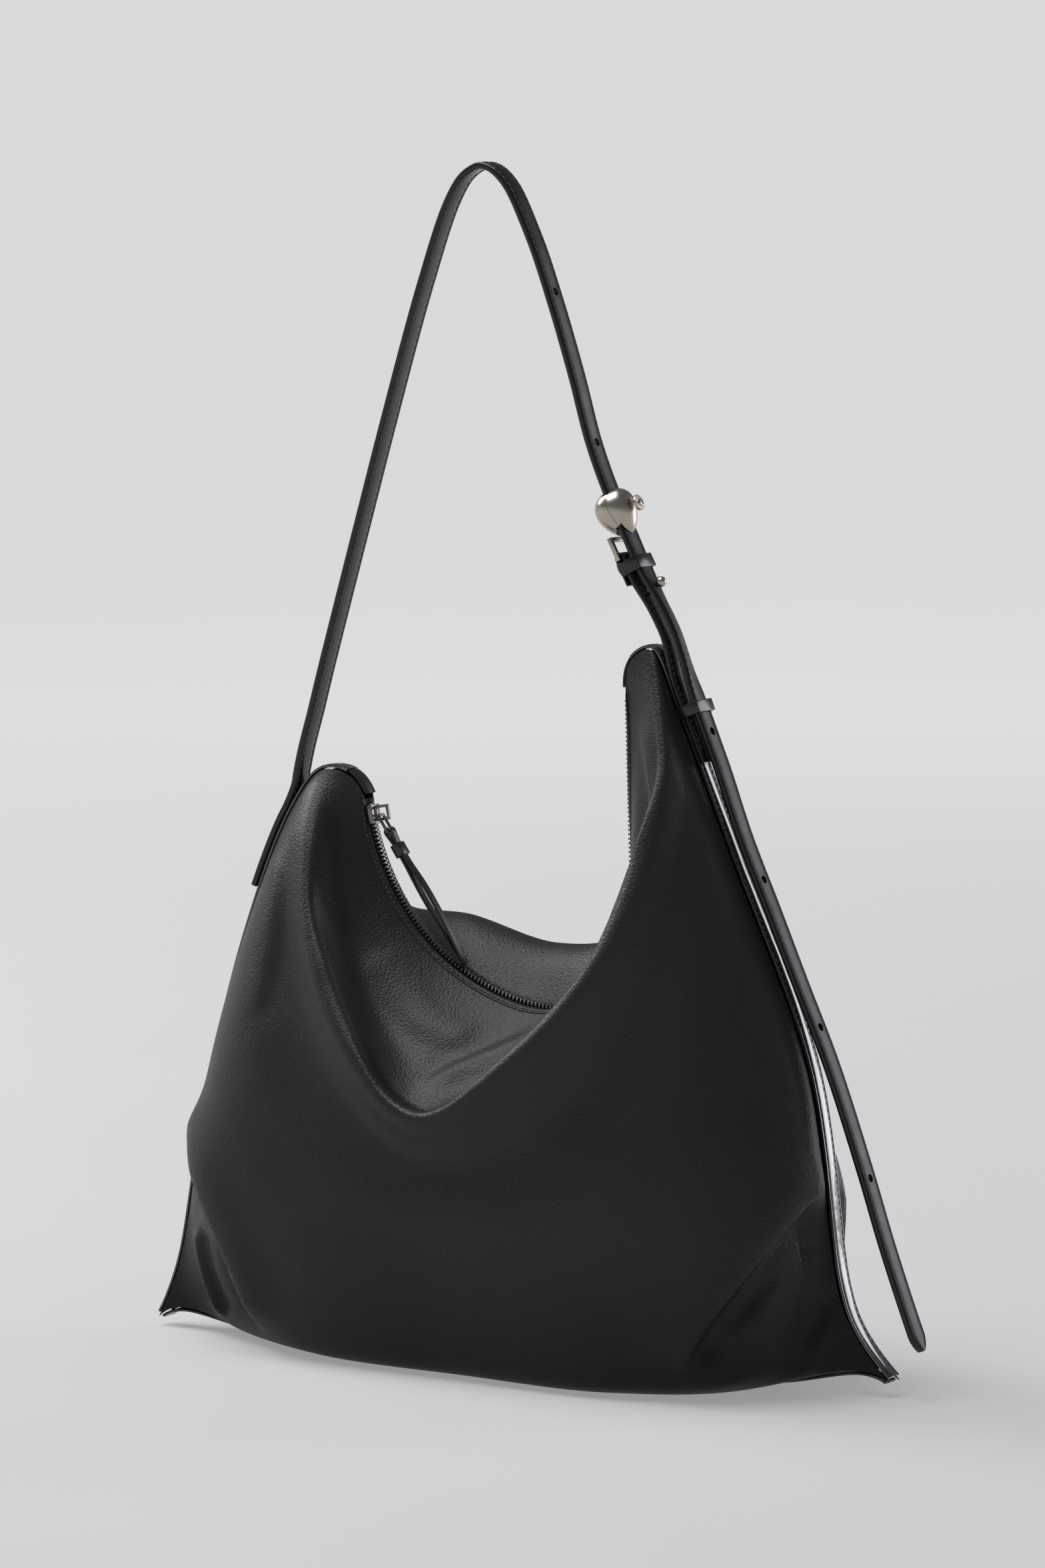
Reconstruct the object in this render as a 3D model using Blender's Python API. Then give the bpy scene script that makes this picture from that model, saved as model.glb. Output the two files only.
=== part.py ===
"""Hobo bag: two soft leather panels joined by a narrow strip, a curved top zip, and a long shoulder strap.

X runs along the bag from the left corner to the right, the front faces -Y, and Z is up from the floor.
X is zero midway between the two bottom corners and Y is zero in the plane of the strip and the strap.
Lengths in this file are millimetres; MM turns them into Blender's metres as each mesh is made.
"""

import math

import bpy
import numpy as np

MM = 0.001
GAP = 0.3

# Overall sizes. The guide curves are drawn at these sizes and stretch with them.
DRAWN_WIDTH, DRAWN_DEPTH, DRAWN_HEIGHT = 480.0, 180.0, 411.0
BODY_WIDTH = 480.0
BODY_DEPTH = 180.0
BODY_HEIGHT = 411.0

# Leather, lining and the strip that joins the panels.
PANEL_THICKNESS = 1.4
LINING_THICKNESS = 0.6
LINING_GAP = 0.8
STRIP_WIDTH = 12.5
STRIP_THICKNESS = 1.6
STRIP_SEAT = 0.8
POCKET_THICKNESS = 1.0
SEAM_END = 2.0

# Shoulder strap and its holes.
STRAP_WIDTH = 15.0
STRAP_THICKNESS = 3.6
HOLE_RADIUS = 2.4
HOLE_SPACING = 88.0
HINGE_CLEARANCE = 4.8
FOOT_CLEARANCE = 12.0
TAIL_POINT = 8.0
TAIL_CLEARANCE = 2.4
BILLET_OFFSET = 6.8
KEEPER_WALL = 1.3
KEEPER_CLEARANCE = 0.6
UPPER_KEEPER_DROP = 1.0
KEEPER_BELOW_HINGE = 30.0
UPPER_KEEPER_HEIGHT = 8.0
LOWER_KEEPER_HEIGHT = 7.0
TAB_LENGTH = 56.0

# Buckle bead, its ring and the ball stud.
BEAD_LENGTH = 28.0
BEAD_WIDTH = 23.0
BEAD_DEPTH = 23.0
BEAD_SLOT_CLEARANCE = 0.5
BEAD_ABOVE_STUD = 46.0
RING_WIDTH = 20.0
RING_LENGTH = 14.0
RING_BELOW_BEAD = 18.5
RING_OFFSET = 8.0
RING_BAR = 2.6
BEAD_FULLNESS = 0.26
BEAD_CROWN = 1.5
BOSS_RADIUS = 4.6
BOSS_HEIGHT = 2.0
BOSS_CHAMFER = 0.6
STUD_BALL_RADIUS = 3.1
STUD_NECK_RADIUS = 1.6
STUD_BASE_RADIUS = 3.4
STUD_BASE_THICKNESS = 0.9
STUD_RISE = 0.6

# Zip.
ZIP_RIM = 5.5
ZIP_END = 6.0
TEETH_WIDTH = 2.9
TEETH_HEIGHT = 1.6
TAPE_THICKNESS = 0.6
SLIDER_LENGTH = 11.0
SLIDER_WIDTH = 9.4
SLIDER_WALL = 1.2
BRIDGE_LENGTH = 8.0
BRIDGE_WIDTH = 2.4
BRIDGE_BAR = 1.4
BRIDGE_EYE = 2.6
BRIDGE_AHEAD = 1.2
LINK_LENGTH = 13.0
LINK_WIDTH = 7.0
LINK_BAR = 1.6
PULL_LENGTH = 92.0
PULL_THICKNESS = 2.6
PULL_WALL = 1.3
PULL_TAPER = 5.0
PULL_REST = 2.4
COLLAR_WALL = 0.9
COLLAR_LENGTH = 7.0
COLLAR_BELOW_EYE = 12.0

# Mesh fineness: samples between neighbouring guide points, and the cross-sections' spacing along the ribbons.
PER_ACROSS = 3
PER_DOWN = 2
SIDE_SPACING = 7.0
BEAK_SPACING = 5.0
BASE_SPACING = 14.0
ARCH_SPACING = 11.0
KEEPER_RUN_SPACING = 8.0
TAIL_SPACING = 12.0
BILLET_SPACING = 9.0
TAB_SPACING = 10.0
ZIP_SPACING = 8.0

# The zip's line: an arc about ZIP_CENTRE from the left end past the bottom, a tighter arc, then straight.
ZIP_LEFT = (-100.0, 319.0)
ZIP_CENTRE = (29.0, 332.0)
ZIP_RIGHT = (72.0, 388.0)
ZIP_RIGHT_X = 76.0
ZIP_TURN = math.radians(263.0)
ZIP_SHARES = (0.0, 0.10, 0.22, 0.35, 0.46, 0.57, 0.70, 0.85, 1.0)

# Where each guide curve meets the strip: from the zip's end, over the peak, down the side to the corner.
LEFT_SEAM = (
    ZIP_LEFT, (-111, 331), (-128, 332), (-148, 308), (-179, 235),
    (-207, 135), (-224, 45), (-232, 22), (-240, 6),
)
RIGHT_SEAM = (
    ZIP_RIGHT, (76, 404), (88, 410), (104, 380), (141, 299), (192, 180), (210, 58), (217, 36), (240, 9),
)

# Guide curves between the seams, each from left to right, as x, depth in front of or behind the strip, z.
FRONT_GUIDES = {
    "valley": (
        (-106, 16, 290), (-88, 28, 244), (-52, 42, 198), (0, 48, 170),
        (52, 44, 188), (84, 38, 246), (90, 20, 328),
    ),
    "cowl": (
        (-119, 30, 300), (-105, 52, 250), (-66, 77, 186), (-10, 88, 148),
        (50, 86, 178), (98, 68, 242), (112, 42, 318),
    ),
    "under_cowl": (
        (-136, 32, 284), (-122, 52, 226), (-80, 74, 160), (-12, 82, 122),
        (62, 82, 148), (114, 66, 214), (126, 38, 292),
    ),
    "belly": (
        (-168, 36, 212), (-146, 62, 172), (-90, 80, 112), (-5, 88, 88),
        (85, 90, 104), (140, 74, 160), (155, 38, 228),
    ),
    "low_belly": (
        (-195, 34, 122), (-170, 62, 90), (-100, 82, 58), (0, 88, 46),
        (100, 92, 52), (170, 76, 84), (196, 36, 130),
    ),
    "roll": (
        (-210, 14, 32), (-178, 32, 18), (-110, 62, 9), (0, 78, 8),
        (105, 87, 9), (170, 62, 15), (200, 22, 34),
    ),
    "floor": (
        (-214, 9, 17), (-175, 20, 5), (-100, 44, 0), (0, 60, 0), (100, 66, 0), (165, 42, 4), (206, 13, 21),
    ),
    "bottom": (
        (-226, 0, 12), (-175, 0, 5), (-100, 0, 2.4), (0, 0, 2.4), (100, 0, 2.4), (170, 0, 5), (224, 0, 14),
    ),
}
BACK_GUIDES = {
    "crest": (
        (-112, 18, 298), (-100, 38, 256), (-56, 44, 248), (0, 44, 235),
        (46, 42, 244), (74, 32, 290), (84, 18, 352),
    ),
    "upper_back": (
        (-128, 34, 284), (-108, 58, 240), (-62, 70, 226), (0, 74, 210),
        (58, 72, 222), (94, 54, 264), (102, 32, 330),
    ),
    "shoulder": (
        (-146, 38, 262), (-126, 64, 212), (-72, 80, 190), (0, 84, 176),
        (70, 82, 186), (110, 62, 224), (119, 36, 290),
    ),
    "mid_back": (
        (-168, 40, 206), (-146, 68, 160), (-86, 86, 130), (0, 90, 118),
        (86, 86, 128), (132, 68, 162), (143, 38, 228),
    ),
    "low_back": (
        (-192, 36, 118), (-168, 68, 86), (-98, 88, 66), (0, 92, 60),
        (98, 88, 66), (158, 68, 88), (178, 36, 130),
    ),
    "roll": (
        (-210, 16, 32), (-176, 40, 18), (-110, 66, 9), (0, 78, 8),
        (105, 80, 9), (166, 54, 15), (198, 22, 34),
    ),
    "floor": (
        (-214, 9, 17), (-175, 22, 5), (-100, 46, 0), (0, 58, 0), (100, 60, 0), (163, 38, 4), (206, 12, 21),
    ),
    "bottom": (
        (-226, 0, 12), (-175, 0, 5), (-100, 0, 2.4), (0, 0, 2.4), (100, 0, 2.4), (170, 0, 5), (224, 0, 14),
    ),
}

# The corner creases, where the full belly hangs over the flat corner: two ends in X and Z, the step's height.
CREASES = (((-212, 106), (-134, 8), 6.0), ((212, 134), (128, 26), 6.0))
CREASE_WIDTH = 9.0
CREASE_REACH = 42.0
CREASE_ROOM = 20.0

# The strap's line from its left foot over the arch, through the bead and the keepers, to its hanging tip.
STRAP_POINTS = (
    (-147, 318), (-142, 342), (-135, 366), (-128, 391), (-98, 493),
    (-87, 530), (-61, 613), (-43, 660), (-33, 674),
    (-21, 679), (-8, 671), (9, 640), (23, 604), (37, 562),
    (48, 525), (59, 498), (71, 474), (79, 458), (86, 446),
    (94, 433), (101, 420), (106, 407), (111, 393), (117, 378),
    (124, 361), (131, 344), (145, 307), (162, 269),
    (180, 228), (200, 183), (221, 126), (236, 82), (257, 27),
)
# The strap's hinge line runs through its two sewn feet; the stud buttons the strap at STUD_POINT.
HINGE_LEFT = (-147.0, 318.0)
HINGE_RIGHT = (98.0, 404.0)
STUD_POINT = (85.0, 444.0)
HOLES_FROM_STUD = (-2, -1, 0, 1, 2, 3, 4)
STRAP_PIECES = (
    "long_strap", "billet_strap", "upper_keeper", "buckle_ring",
    "bead_inner_half", "bead_outer_half", "bead_boss", "ball_stud",
)

COLOURS = {
    "soft_leather": ((0.022, 0.021, 0.023), 0.55, 0.0),
    "polished_leather": ((0.012, 0.012, 0.013), 0.22, 0.0),
    "lining_cloth": ((0.030, 0.028, 0.027), 0.9, 0.0),
    "zip_tape": ((0.012, 0.012, 0.013), 0.9, 0.0),
    "zip_metal": ((0.20, 0.19, 0.18), 0.28, 1.0),
    "satin_nickel": ((0.56, 0.53, 0.47), 0.34, 1.0),
}


# ---------------------------------------------------------------- lines and surfaces


def placed(x, z):
    """A drawn point of the X-Z plane at the bag's real size."""
    return np.array([x * BODY_WIDTH / DRAWN_WIDTH, z * BODY_HEIGHT / DRAWN_HEIGHT])


def smooth(points, per):
    """Cubic curve through points along axis 0, `per` samples to each stretch, carrying the other axes along."""
    points = np.asarray(points, float)
    step = np.maximum(np.linalg.norm(np.diff(points, axis=0), axis=-1), 1e-6) ** 0.5
    step = step[..., None]
    slope = np.diff(points, axis=0) / step
    tangent = np.empty_like(points)
    tangent[1:-1] = (slope[1:] * step[:-1] + slope[:-1] * step[1:]) / (step[1:] + step[:-1])
    tangent[0] = 2 * slope[0] - tangent[1]
    tangent[-1] = 2 * slope[-1] - tangent[-2]
    out = []
    for i in range(len(points) - 1):
        for s in np.arange(per) / per:
            out.append(
                (2 * s**3 - 3 * s**2 + 1) * points[i]
                + (s**3 - 2 * s**2 + s) * step[i] * tangent[i]
                + (3 * s**2 - 2 * s**3) * points[i + 1]
                + (s**3 - s**2) * step[i] * tangent[i + 1]
            )
    out.append(points[-1])
    return np.array(out)


def lengths(line):
    return np.concatenate([[0.0], np.cumsum(np.linalg.norm(np.diff(line, axis=0), axis=1))])


def at_length(line, where):
    """Points of a line at distances along it."""
    along = lengths(line)
    return np.stack([np.interp(where, along, line[:, k]) for k in range(line.shape[1])], axis=-1)


def cut(line, start, end, spacing):
    """The stretch of a line between two distances along it, evenly spaced."""
    count = max(2, int(round((end - start) / spacing)) + 1)
    return at_length(line, np.linspace(start, end, count))


def nearest(line, point):
    """How far along a line its nearest point lies."""
    fine = cut(line, 0.0, lengths(line)[-1], 0.5)
    return lengths(fine)[np.argmin(np.linalg.norm(fine - np.asarray(point), axis=1))]


def tangents(line):
    step = np.gradient(line, axis=0)
    return step / np.linalg.norm(step, axis=1)[:, None]


def offset(line, distance):
    """A line moved sideways in the X-Z plane; positive is to its left seen from the front."""
    t = tangents(line)
    return line + distance * np.stack([-t[:, 1], t[:, 0]], axis=1)


def arc(centre, radius, start, end, count):
    angle = np.linspace(start, end, count)
    return np.stack([centre[0] + radius * np.cos(angle), centre[1] + radius * np.sin(angle)], axis=1)


def zip_arc():
    """Centre, radius and start angle of the zip's left arc."""
    centre = placed(*ZIP_CENTRE)
    start = placed(*ZIP_LEFT) - centre
    return centre, float(np.linalg.norm(start)), math.atan2(start[1], start[0]) % (2 * math.pi)


def zip_line():
    centre, radius, start = zip_arc()
    turn = centre + radius * np.array([math.cos(ZIP_TURN), math.sin(ZIP_TURN)])
    inward = (centre - turn) / radius
    right = placed(ZIP_RIGHT_X, 0)[0]
    tight = (right - turn[0]) / (1 + inward[0])
    tight_centre = turn + tight * inward
    line = np.concatenate([
        arc(centre, radius, start, ZIP_TURN, 60),
        arc(tight_centre, tight, ZIP_TURN, 2 * math.pi, 30)[1:],
        np.linspace((right, tight_centre[1]), placed(*ZIP_RIGHT), 30)[1:],
    ])
    return line


def crease_step(points):
    """Depth that the corner creases add or take away at points of the panels, largest beside the crease."""
    total = np.zeros(points.shape[:-1])
    for upper, lower, height in CREASES:
        a, b = placed(*upper), placed(*lower)
        along = (b - a) / np.linalg.norm(b - a)
        side = np.array([along[1], -along[0]]) * (1 if a[0] > 0 else -1)
        rel = points[..., ::2] - a
        across = rel @ side
        down = (rel @ along) / np.linalg.norm(b - a)
        fade = np.clip(1.15 - np.abs(down - 0.45) * 1.5, 0.0, 1.0) ** 2
        total += height * np.tanh(across / CREASE_WIDTH) * np.exp(-((across / CREASE_REACH) ** 2)) * fade
    return total


def panel_grid(guides, side):
    """Outer surface of a panel, rows from the zip to the bottom seam; side is -1 in front, 1 behind."""
    edge = STRIP_WIDTH / 2 + GAP
    zip_row = at_length(zip_line(), np.array(ZIP_SHARES) * lengths(zip_line())[-1])
    rows = [[(x, side * ZIP_RIM, z) for x, z in zip_row]]
    for seam_left, seam_right, guide in zip(LEFT_SEAM[1:], RIGHT_SEAM[1:], guides.values()):
        row = [(*placed(*seam_left), edge)]
        row += [(*placed(x, z), max(edge, depth * BODY_DEPTH / DRAWN_DEPTH)) for x, depth, z in guide]
        row += [(*placed(*seam_right), edge)]
        rows.append([(x, side * depth, z) for x, z, depth in row])
    across = smooth(np.swapaxes(np.array(rows), 0, 1), PER_ACROSS)
    grid = smooth(np.swapaxes(across, 0, 1), PER_DOWN)
    depth = np.abs(grid[..., 1])
    room = np.clip((depth - edge) / CREASE_ROOM, 0.0, 1.0)
    grid[..., 1] += side * crease_step(grid) * room
    grid[..., 2] = np.maximum(grid[..., 2], 0.0)
    return grid


def inset(grid, distance, side):
    """The grid moved towards the inside of the bag by a distance."""
    across = np.gradient(grid, axis=1)
    down = np.gradient(grid, axis=0)
    normal = np.cross(across, down) * -side
    normal /= np.maximum(np.linalg.norm(normal, axis=-1), 1e-9)[..., None]
    moved = grid + normal * distance
    edge = np.full((len(grid), 1), GAP)
    edge[0] = ZIP_RIM
    moved[..., 1] = side * np.maximum(side * moved[..., 1], edge)
    return moved


def seam(side):
    """The strip's line from the zip's end over the peak to the corner: side -1 is the left, 1 the right."""
    points = LEFT_SEAM if side < 0 else RIGHT_SEAM
    return smooth([placed(*p) for p in points], 8)


# ---------------------------------------------------------------- meshes


def material(name):
    found = bpy.data.materials.get(name)
    if found:
        return found
    colour, roughness, metallic = COLOURS[name]
    made = bpy.data.materials.new(name)
    made.use_nodes = True
    shader = made.node_tree.nodes["Principled BSDF"]
    shader.inputs["Base Color"].default_value = (*colour, 1.0)
    shader.inputs["Roughness"].default_value = roughness
    shader.inputs["Metallic"].default_value = metallic
    return made


def solid(name, vertices, faces, finish, flip=False):
    mesh = bpy.data.meshes.new(name)
    mesh.from_pydata([tuple(float(c) * MM for c in v) for v in vertices], [], faces)
    if flip:
        mesh.flip_normals()
    mesh.update()
    mesh.materials.append(material(finish))
    made = bpy.data.objects.new(name, mesh)
    bpy.context.scene.collection.objects.link(made)
    return made


def outward(made):
    """Turns a closed mesh's faces outwards."""
    bpy.ops.object.select_all(action="DESELECT")
    made.select_set(True)
    bpy.context.view_layer.objects.active = made
    bpy.ops.object.mode_set(mode="EDIT")
    bpy.ops.mesh.select_all(action="SELECT")
    bpy.ops.mesh.normals_make_consistent(inside=False)
    bpy.ops.object.mode_set(mode="OBJECT")
    return made


def sheet(name, outer, inner, finish):
    """A closed skin between two grids of the same size."""
    rows, columns = outer.shape[:2]
    vertices = np.concatenate([outer.reshape(-1, 3), inner.reshape(-1, 3)])
    half = rows * columns
    faces = []
    for r in range(rows - 1):
        for c in range(columns - 1):
            a = r * columns + c
            for face in ((a, a + 1, a + columns + 1), (a, a + columns + 1, a + columns)):
                faces.append(face)
                faces.append(tuple(half + i for i in reversed(face)))
    rim = [r * columns for r in range(rows)]
    rim += [(rows - 1) * columns + c for c in range(1, columns)]
    rim += [r * columns + columns - 1 for r in range(rows - 2, -1, -1)]
    rim += list(range(columns - 2, 0, -1))
    for a, b in zip(rim, rim[1:] + rim[:1]):
        faces.append((a, b, half + b, half + a))
    return outward(solid(name, vertices, faces, finish))


def ribbon(name, line, width, thickness, finish, y=0.0, lift=0.0, point=0.0):
    """A flat strap that follows a line in the X-Z plane, its width along Y; a point tapers its far end."""
    if point:
        total = lengths(line)[-1]
        line = np.concatenate([cut(line, 0, total - point, 10.0), line[-1:]])
    side = offset(line, 1.0) - line
    centre = line + side * lift
    vertices, faces = [], []
    for i, (c, n) in enumerate(zip(centre, side)):
        half = width / 2 if not (point and i == len(line) - 1) else width * 0.12
        for sy, sn in ((-1, -1), (1, -1), (1, 1), (-1, 1)):
            p = c + n * sn * thickness / 2
            vertices.append((p[0], y + sy * half, p[1]))
    for i in range(len(line) - 1):
        for k in range(4):
            a, b = 4 * i + k, 4 * i + (k + 1) % 4
            faces.append((a, b, b + 4, a + 4))
    last = 4 * (len(line) - 1)
    faces += [(3, 2, 1, 0), (last, last + 1, last + 2, last + 3)]
    return outward(solid(name, vertices, faces, finish))


def frame_at(line, where):
    """Point, direction and left-hand normal of a line at a distance along it, as 3-D vectors."""
    here = at_length(line, np.array([where - 0.5, where, where + 0.5]))
    t = tangents(here)[1]
    return (
        np.array([here[1][0], 0.0, here[1][1]]),
        np.array([t[0], 0.0, t[1]]),
        np.array([-t[1], 0.0, t[0]]),
    )


def prism(name, outline, origin, u, v, finish, hole=()):
    """An outline of (u, v) points, given with its depth, extruded along the common normal of u and v."""
    outline, depth = outline
    w = np.cross(u, v)
    vertices, faces = [], []
    for s in (-0.5, 0.5):
        for ring in (outline, hole):
            vertices += [origin + u * a + v * b + w * depth * s for a, b in ring]
    n, m = len(outline), len(hole)
    for start, count in ((0, n), (n, m)):
        for k in range(count):
            a, b = start + k, start + (k + 1) % count
            faces.append((a, b, b + n + m, a + n + m))
    if hole:
        for k in range(n):
            a, b = k, (k + 1) % n
            faces.append((a, b, n + b, n + a))
            faces.append(tuple(n + m + i for i in (n + a, n + b, b, a)))
    else:
        faces += [tuple(range(n)), tuple(range(n, 2 * n))]
    return outward(solid(name, vertices, faces, finish))


def box_outline(width, height):
    u, v = width / 2, height / 2
    return [(-u, -v), (u, -v), (u, v), (-u, v)]


def band(name, origin, u, v, inner_u, inner_v, wall, depth, finish):
    """A rectangular loop round the direction that u and v are square to."""
    outer = box_outline(inner_u + 2 * wall, inner_v + 2 * wall)
    return prism(name, (outer, depth), origin, u, v, finish, hole=box_outline(inner_u, inner_v))


def turned(name, profile, origin, axis, finish, sides=16):
    """A solid of revolution about axis; profile is (distance along the axis, radius), from end to end."""
    axis = axis / np.linalg.norm(axis)
    u = np.cross(axis, [0.0, 1.0, 0.0] if abs(axis[1]) < 0.9 else [1.0, 0.0, 0.0])
    u /= np.linalg.norm(u)
    v = np.cross(axis, u)
    vertices = [origin + axis * profile[0][0]]
    for along, radius in profile[1:-1]:
        for k in range(sides):
            a = 2 * math.pi * k / sides
            vertices.append(origin + axis * along + radius * (u * math.cos(a) + v * math.sin(a)))
    vertices.append(origin + axis * profile[-1][0])
    faces = []
    rings = len(profile) - 2
    for k in range(sides):
        n = (k + 1) % sides
        faces.append((0, 1 + k, 1 + n))
        for r in range(rings - 1):
            a = 1 + r * sides
            faces.append((a + k, a + sides + k, a + sides + n, a + n))
        a = 1 + (rings - 1) * sides
        faces.append((a + n, a + k, len(vertices) - 1))
    made = outward(solid(name, vertices, faces, finish))
    made.data.shade_smooth()
    return made


def cutter(made):
    made.hide_render = True
    made.display_type = "WIRE"
    return made


def subtract(made, tool):
    cut_out = made.modifiers.new("cut_" + tool.name, "BOOLEAN")
    cut_out.operation = "DIFFERENCE"
    cut_out.solver = "EXACT"
    cut_out.object = tool


def cylinder(name, origin, axis, radius, length, sides=12):
    profile = [(-length / 2, 0), (-length / 2, radius), (length / 2, radius), (length / 2, 0)]
    return turned(name, profile, origin, axis, "polished_leather", sides)


# ---------------------------------------------------------------- the bag


def build_body():
    for name, guides, side in (("front", FRONT_GUIDES, -1), ("back", BACK_GUIDES, 1)):
        grid = panel_grid(guides, side)
        sheet(name + "_panel", grid, inset(grid, PANEL_THICKNESS, side), "soft_leather")
        face = PANEL_THICKNESS + LINING_GAP
        back = face + LINING_THICKNESS
        lining = (slice(2, -1), slice(1, -1))
        cloth = [inset(grid, deep, side)[lining] for deep in (face, back)]
        sheet(name + "_lining", *cloth, "lining_cloth")
        if side > 0:
            face = back + LINING_GAP
            back = face + POCKET_THICKNESS
            patch = (slice(7, 13), slice(9, 17))
            cloth = [inset(grid, deep, side)[patch] for deep in (face, back)]
            sheet("inner_pocket", *cloth, "lining_cloth")


def build_strips():
    for name, side in (("left_side_strip", -1), ("right_side_strip", 1)):
        line = seam(side)
        total = lengths(line)[-1]
        start = lengths(line)[8] + 2 * GAP
        over = side * (STRIP_THICKNESS / 2 + STRIP_SEAT)
        run = cut(line, start, total - SEAM_END, SIDE_SPACING)
        ribbon(name, run, STRIP_WIDTH, STRIP_THICKNESS, "polished_leather", lift=over)
        end = cut(line, GAP, start - 3 * GAP, BEAK_SPACING)
        label = "left" if side < 0 else "right"
        ribbon("zip_end_" + label, end, 2 * ZIP_RIM - 2 * GAP, STRIP_THICKNESS, "soft_leather", lift=over)
    corners = [(x, z) for x, _, z in FRONT_GUIDES["bottom"]]
    line = smooth([placed(*p) for p in [LEFT_SEAM[-1], *corners, RIGHT_SEAM[-1]]], 4)
    line = cut(line, SEAM_END, lengths(line)[-1] - SEAM_END, BASE_SPACING)
    line = offset(line, -STRIP_THICKNESS / 2 - STRIP_SEAT)
    line[:, 1] = np.maximum(line[:, 1], STRIP_THICKNESS / 2)
    ribbon("bottom_strip", line, STRIP_WIDTH, STRIP_THICKNESS, "polished_leather")


def strap_line():
    return smooth([placed(*p) for p in STRAP_POINTS], 6)


def hinge_crossing(line):
    """How far along a line it crosses the strap's hinge axis."""
    a, b = placed(*HINGE_LEFT), placed(*HINGE_RIGHT)
    d = (b - a) / np.linalg.norm(b - a)
    fine = cut(line, 0.0, lengths(line)[-1], 0.5)
    height = (fine - a) @ np.array([-d[1], d[0]])
    late = np.arange(len(fine)) > len(fine) // 3
    return lengths(fine)[np.argmin(np.where(late, np.abs(height), 1e9))]


def build_strap():
    line = strap_line()
    stud_at = nearest(line, placed(*STUD_POINT))
    hinge_at = hinge_crossing(line)
    keeper_at = hinge_at + KEEPER_BELOW_HINGE
    keeper_end = keeper_at + LOWER_KEEPER_HEIGHT / 2
    total = lengths(line)[-1]
    upper = ribbon("long_strap", cut(line, FOOT_CLEARANCE, hinge_at - HINGE_CLEARANCE, ARCH_SPACING),
                   STRAP_WIDTH, STRAP_THICKNESS, "polished_leather")
    run = ribbon("strap_in_keeper", cut(line, hinge_at + HINGE_CLEARANCE, keeper_end, KEEPER_RUN_SPACING),
                 STRAP_WIDTH, STRAP_THICKNESS, "polished_leather")
    tail = ribbon("strap_tail", cut(line, keeper_end + TAIL_CLEARANCE, total, TAIL_SPACING),
                  STRAP_WIDTH, STRAP_THICKNESS, "polished_leather", point=TAIL_POINT)
    for number, k in enumerate(HOLES_FROM_STUD):
        where = stud_at + k * HOLE_SPACING
        at, along, out = frame_at(line, where)
        tool = cutter(cylinder("strap_hole_%d" % number, at, out, HOLE_RADIUS, 4 * STRAP_THICKNESS))
        piece = upper if where < hinge_at else run if where < keeper_end else tail
        subtract(piece, tool)
    build_buckle(line, stud_at, hinge_at)
    build_tabs(line, keeper_at)
    hinge = placed(*HINGE_LEFT)
    pivot("strap_hinge", (hinge[0], 0.0, hinge[1]), STRAP_PIECES)
    bend = frame_at(line, keeper_end + TAIL_CLEARANCE / 2)[0]
    pivot("tail_hinge", bend, ["strap_tail"])


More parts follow.
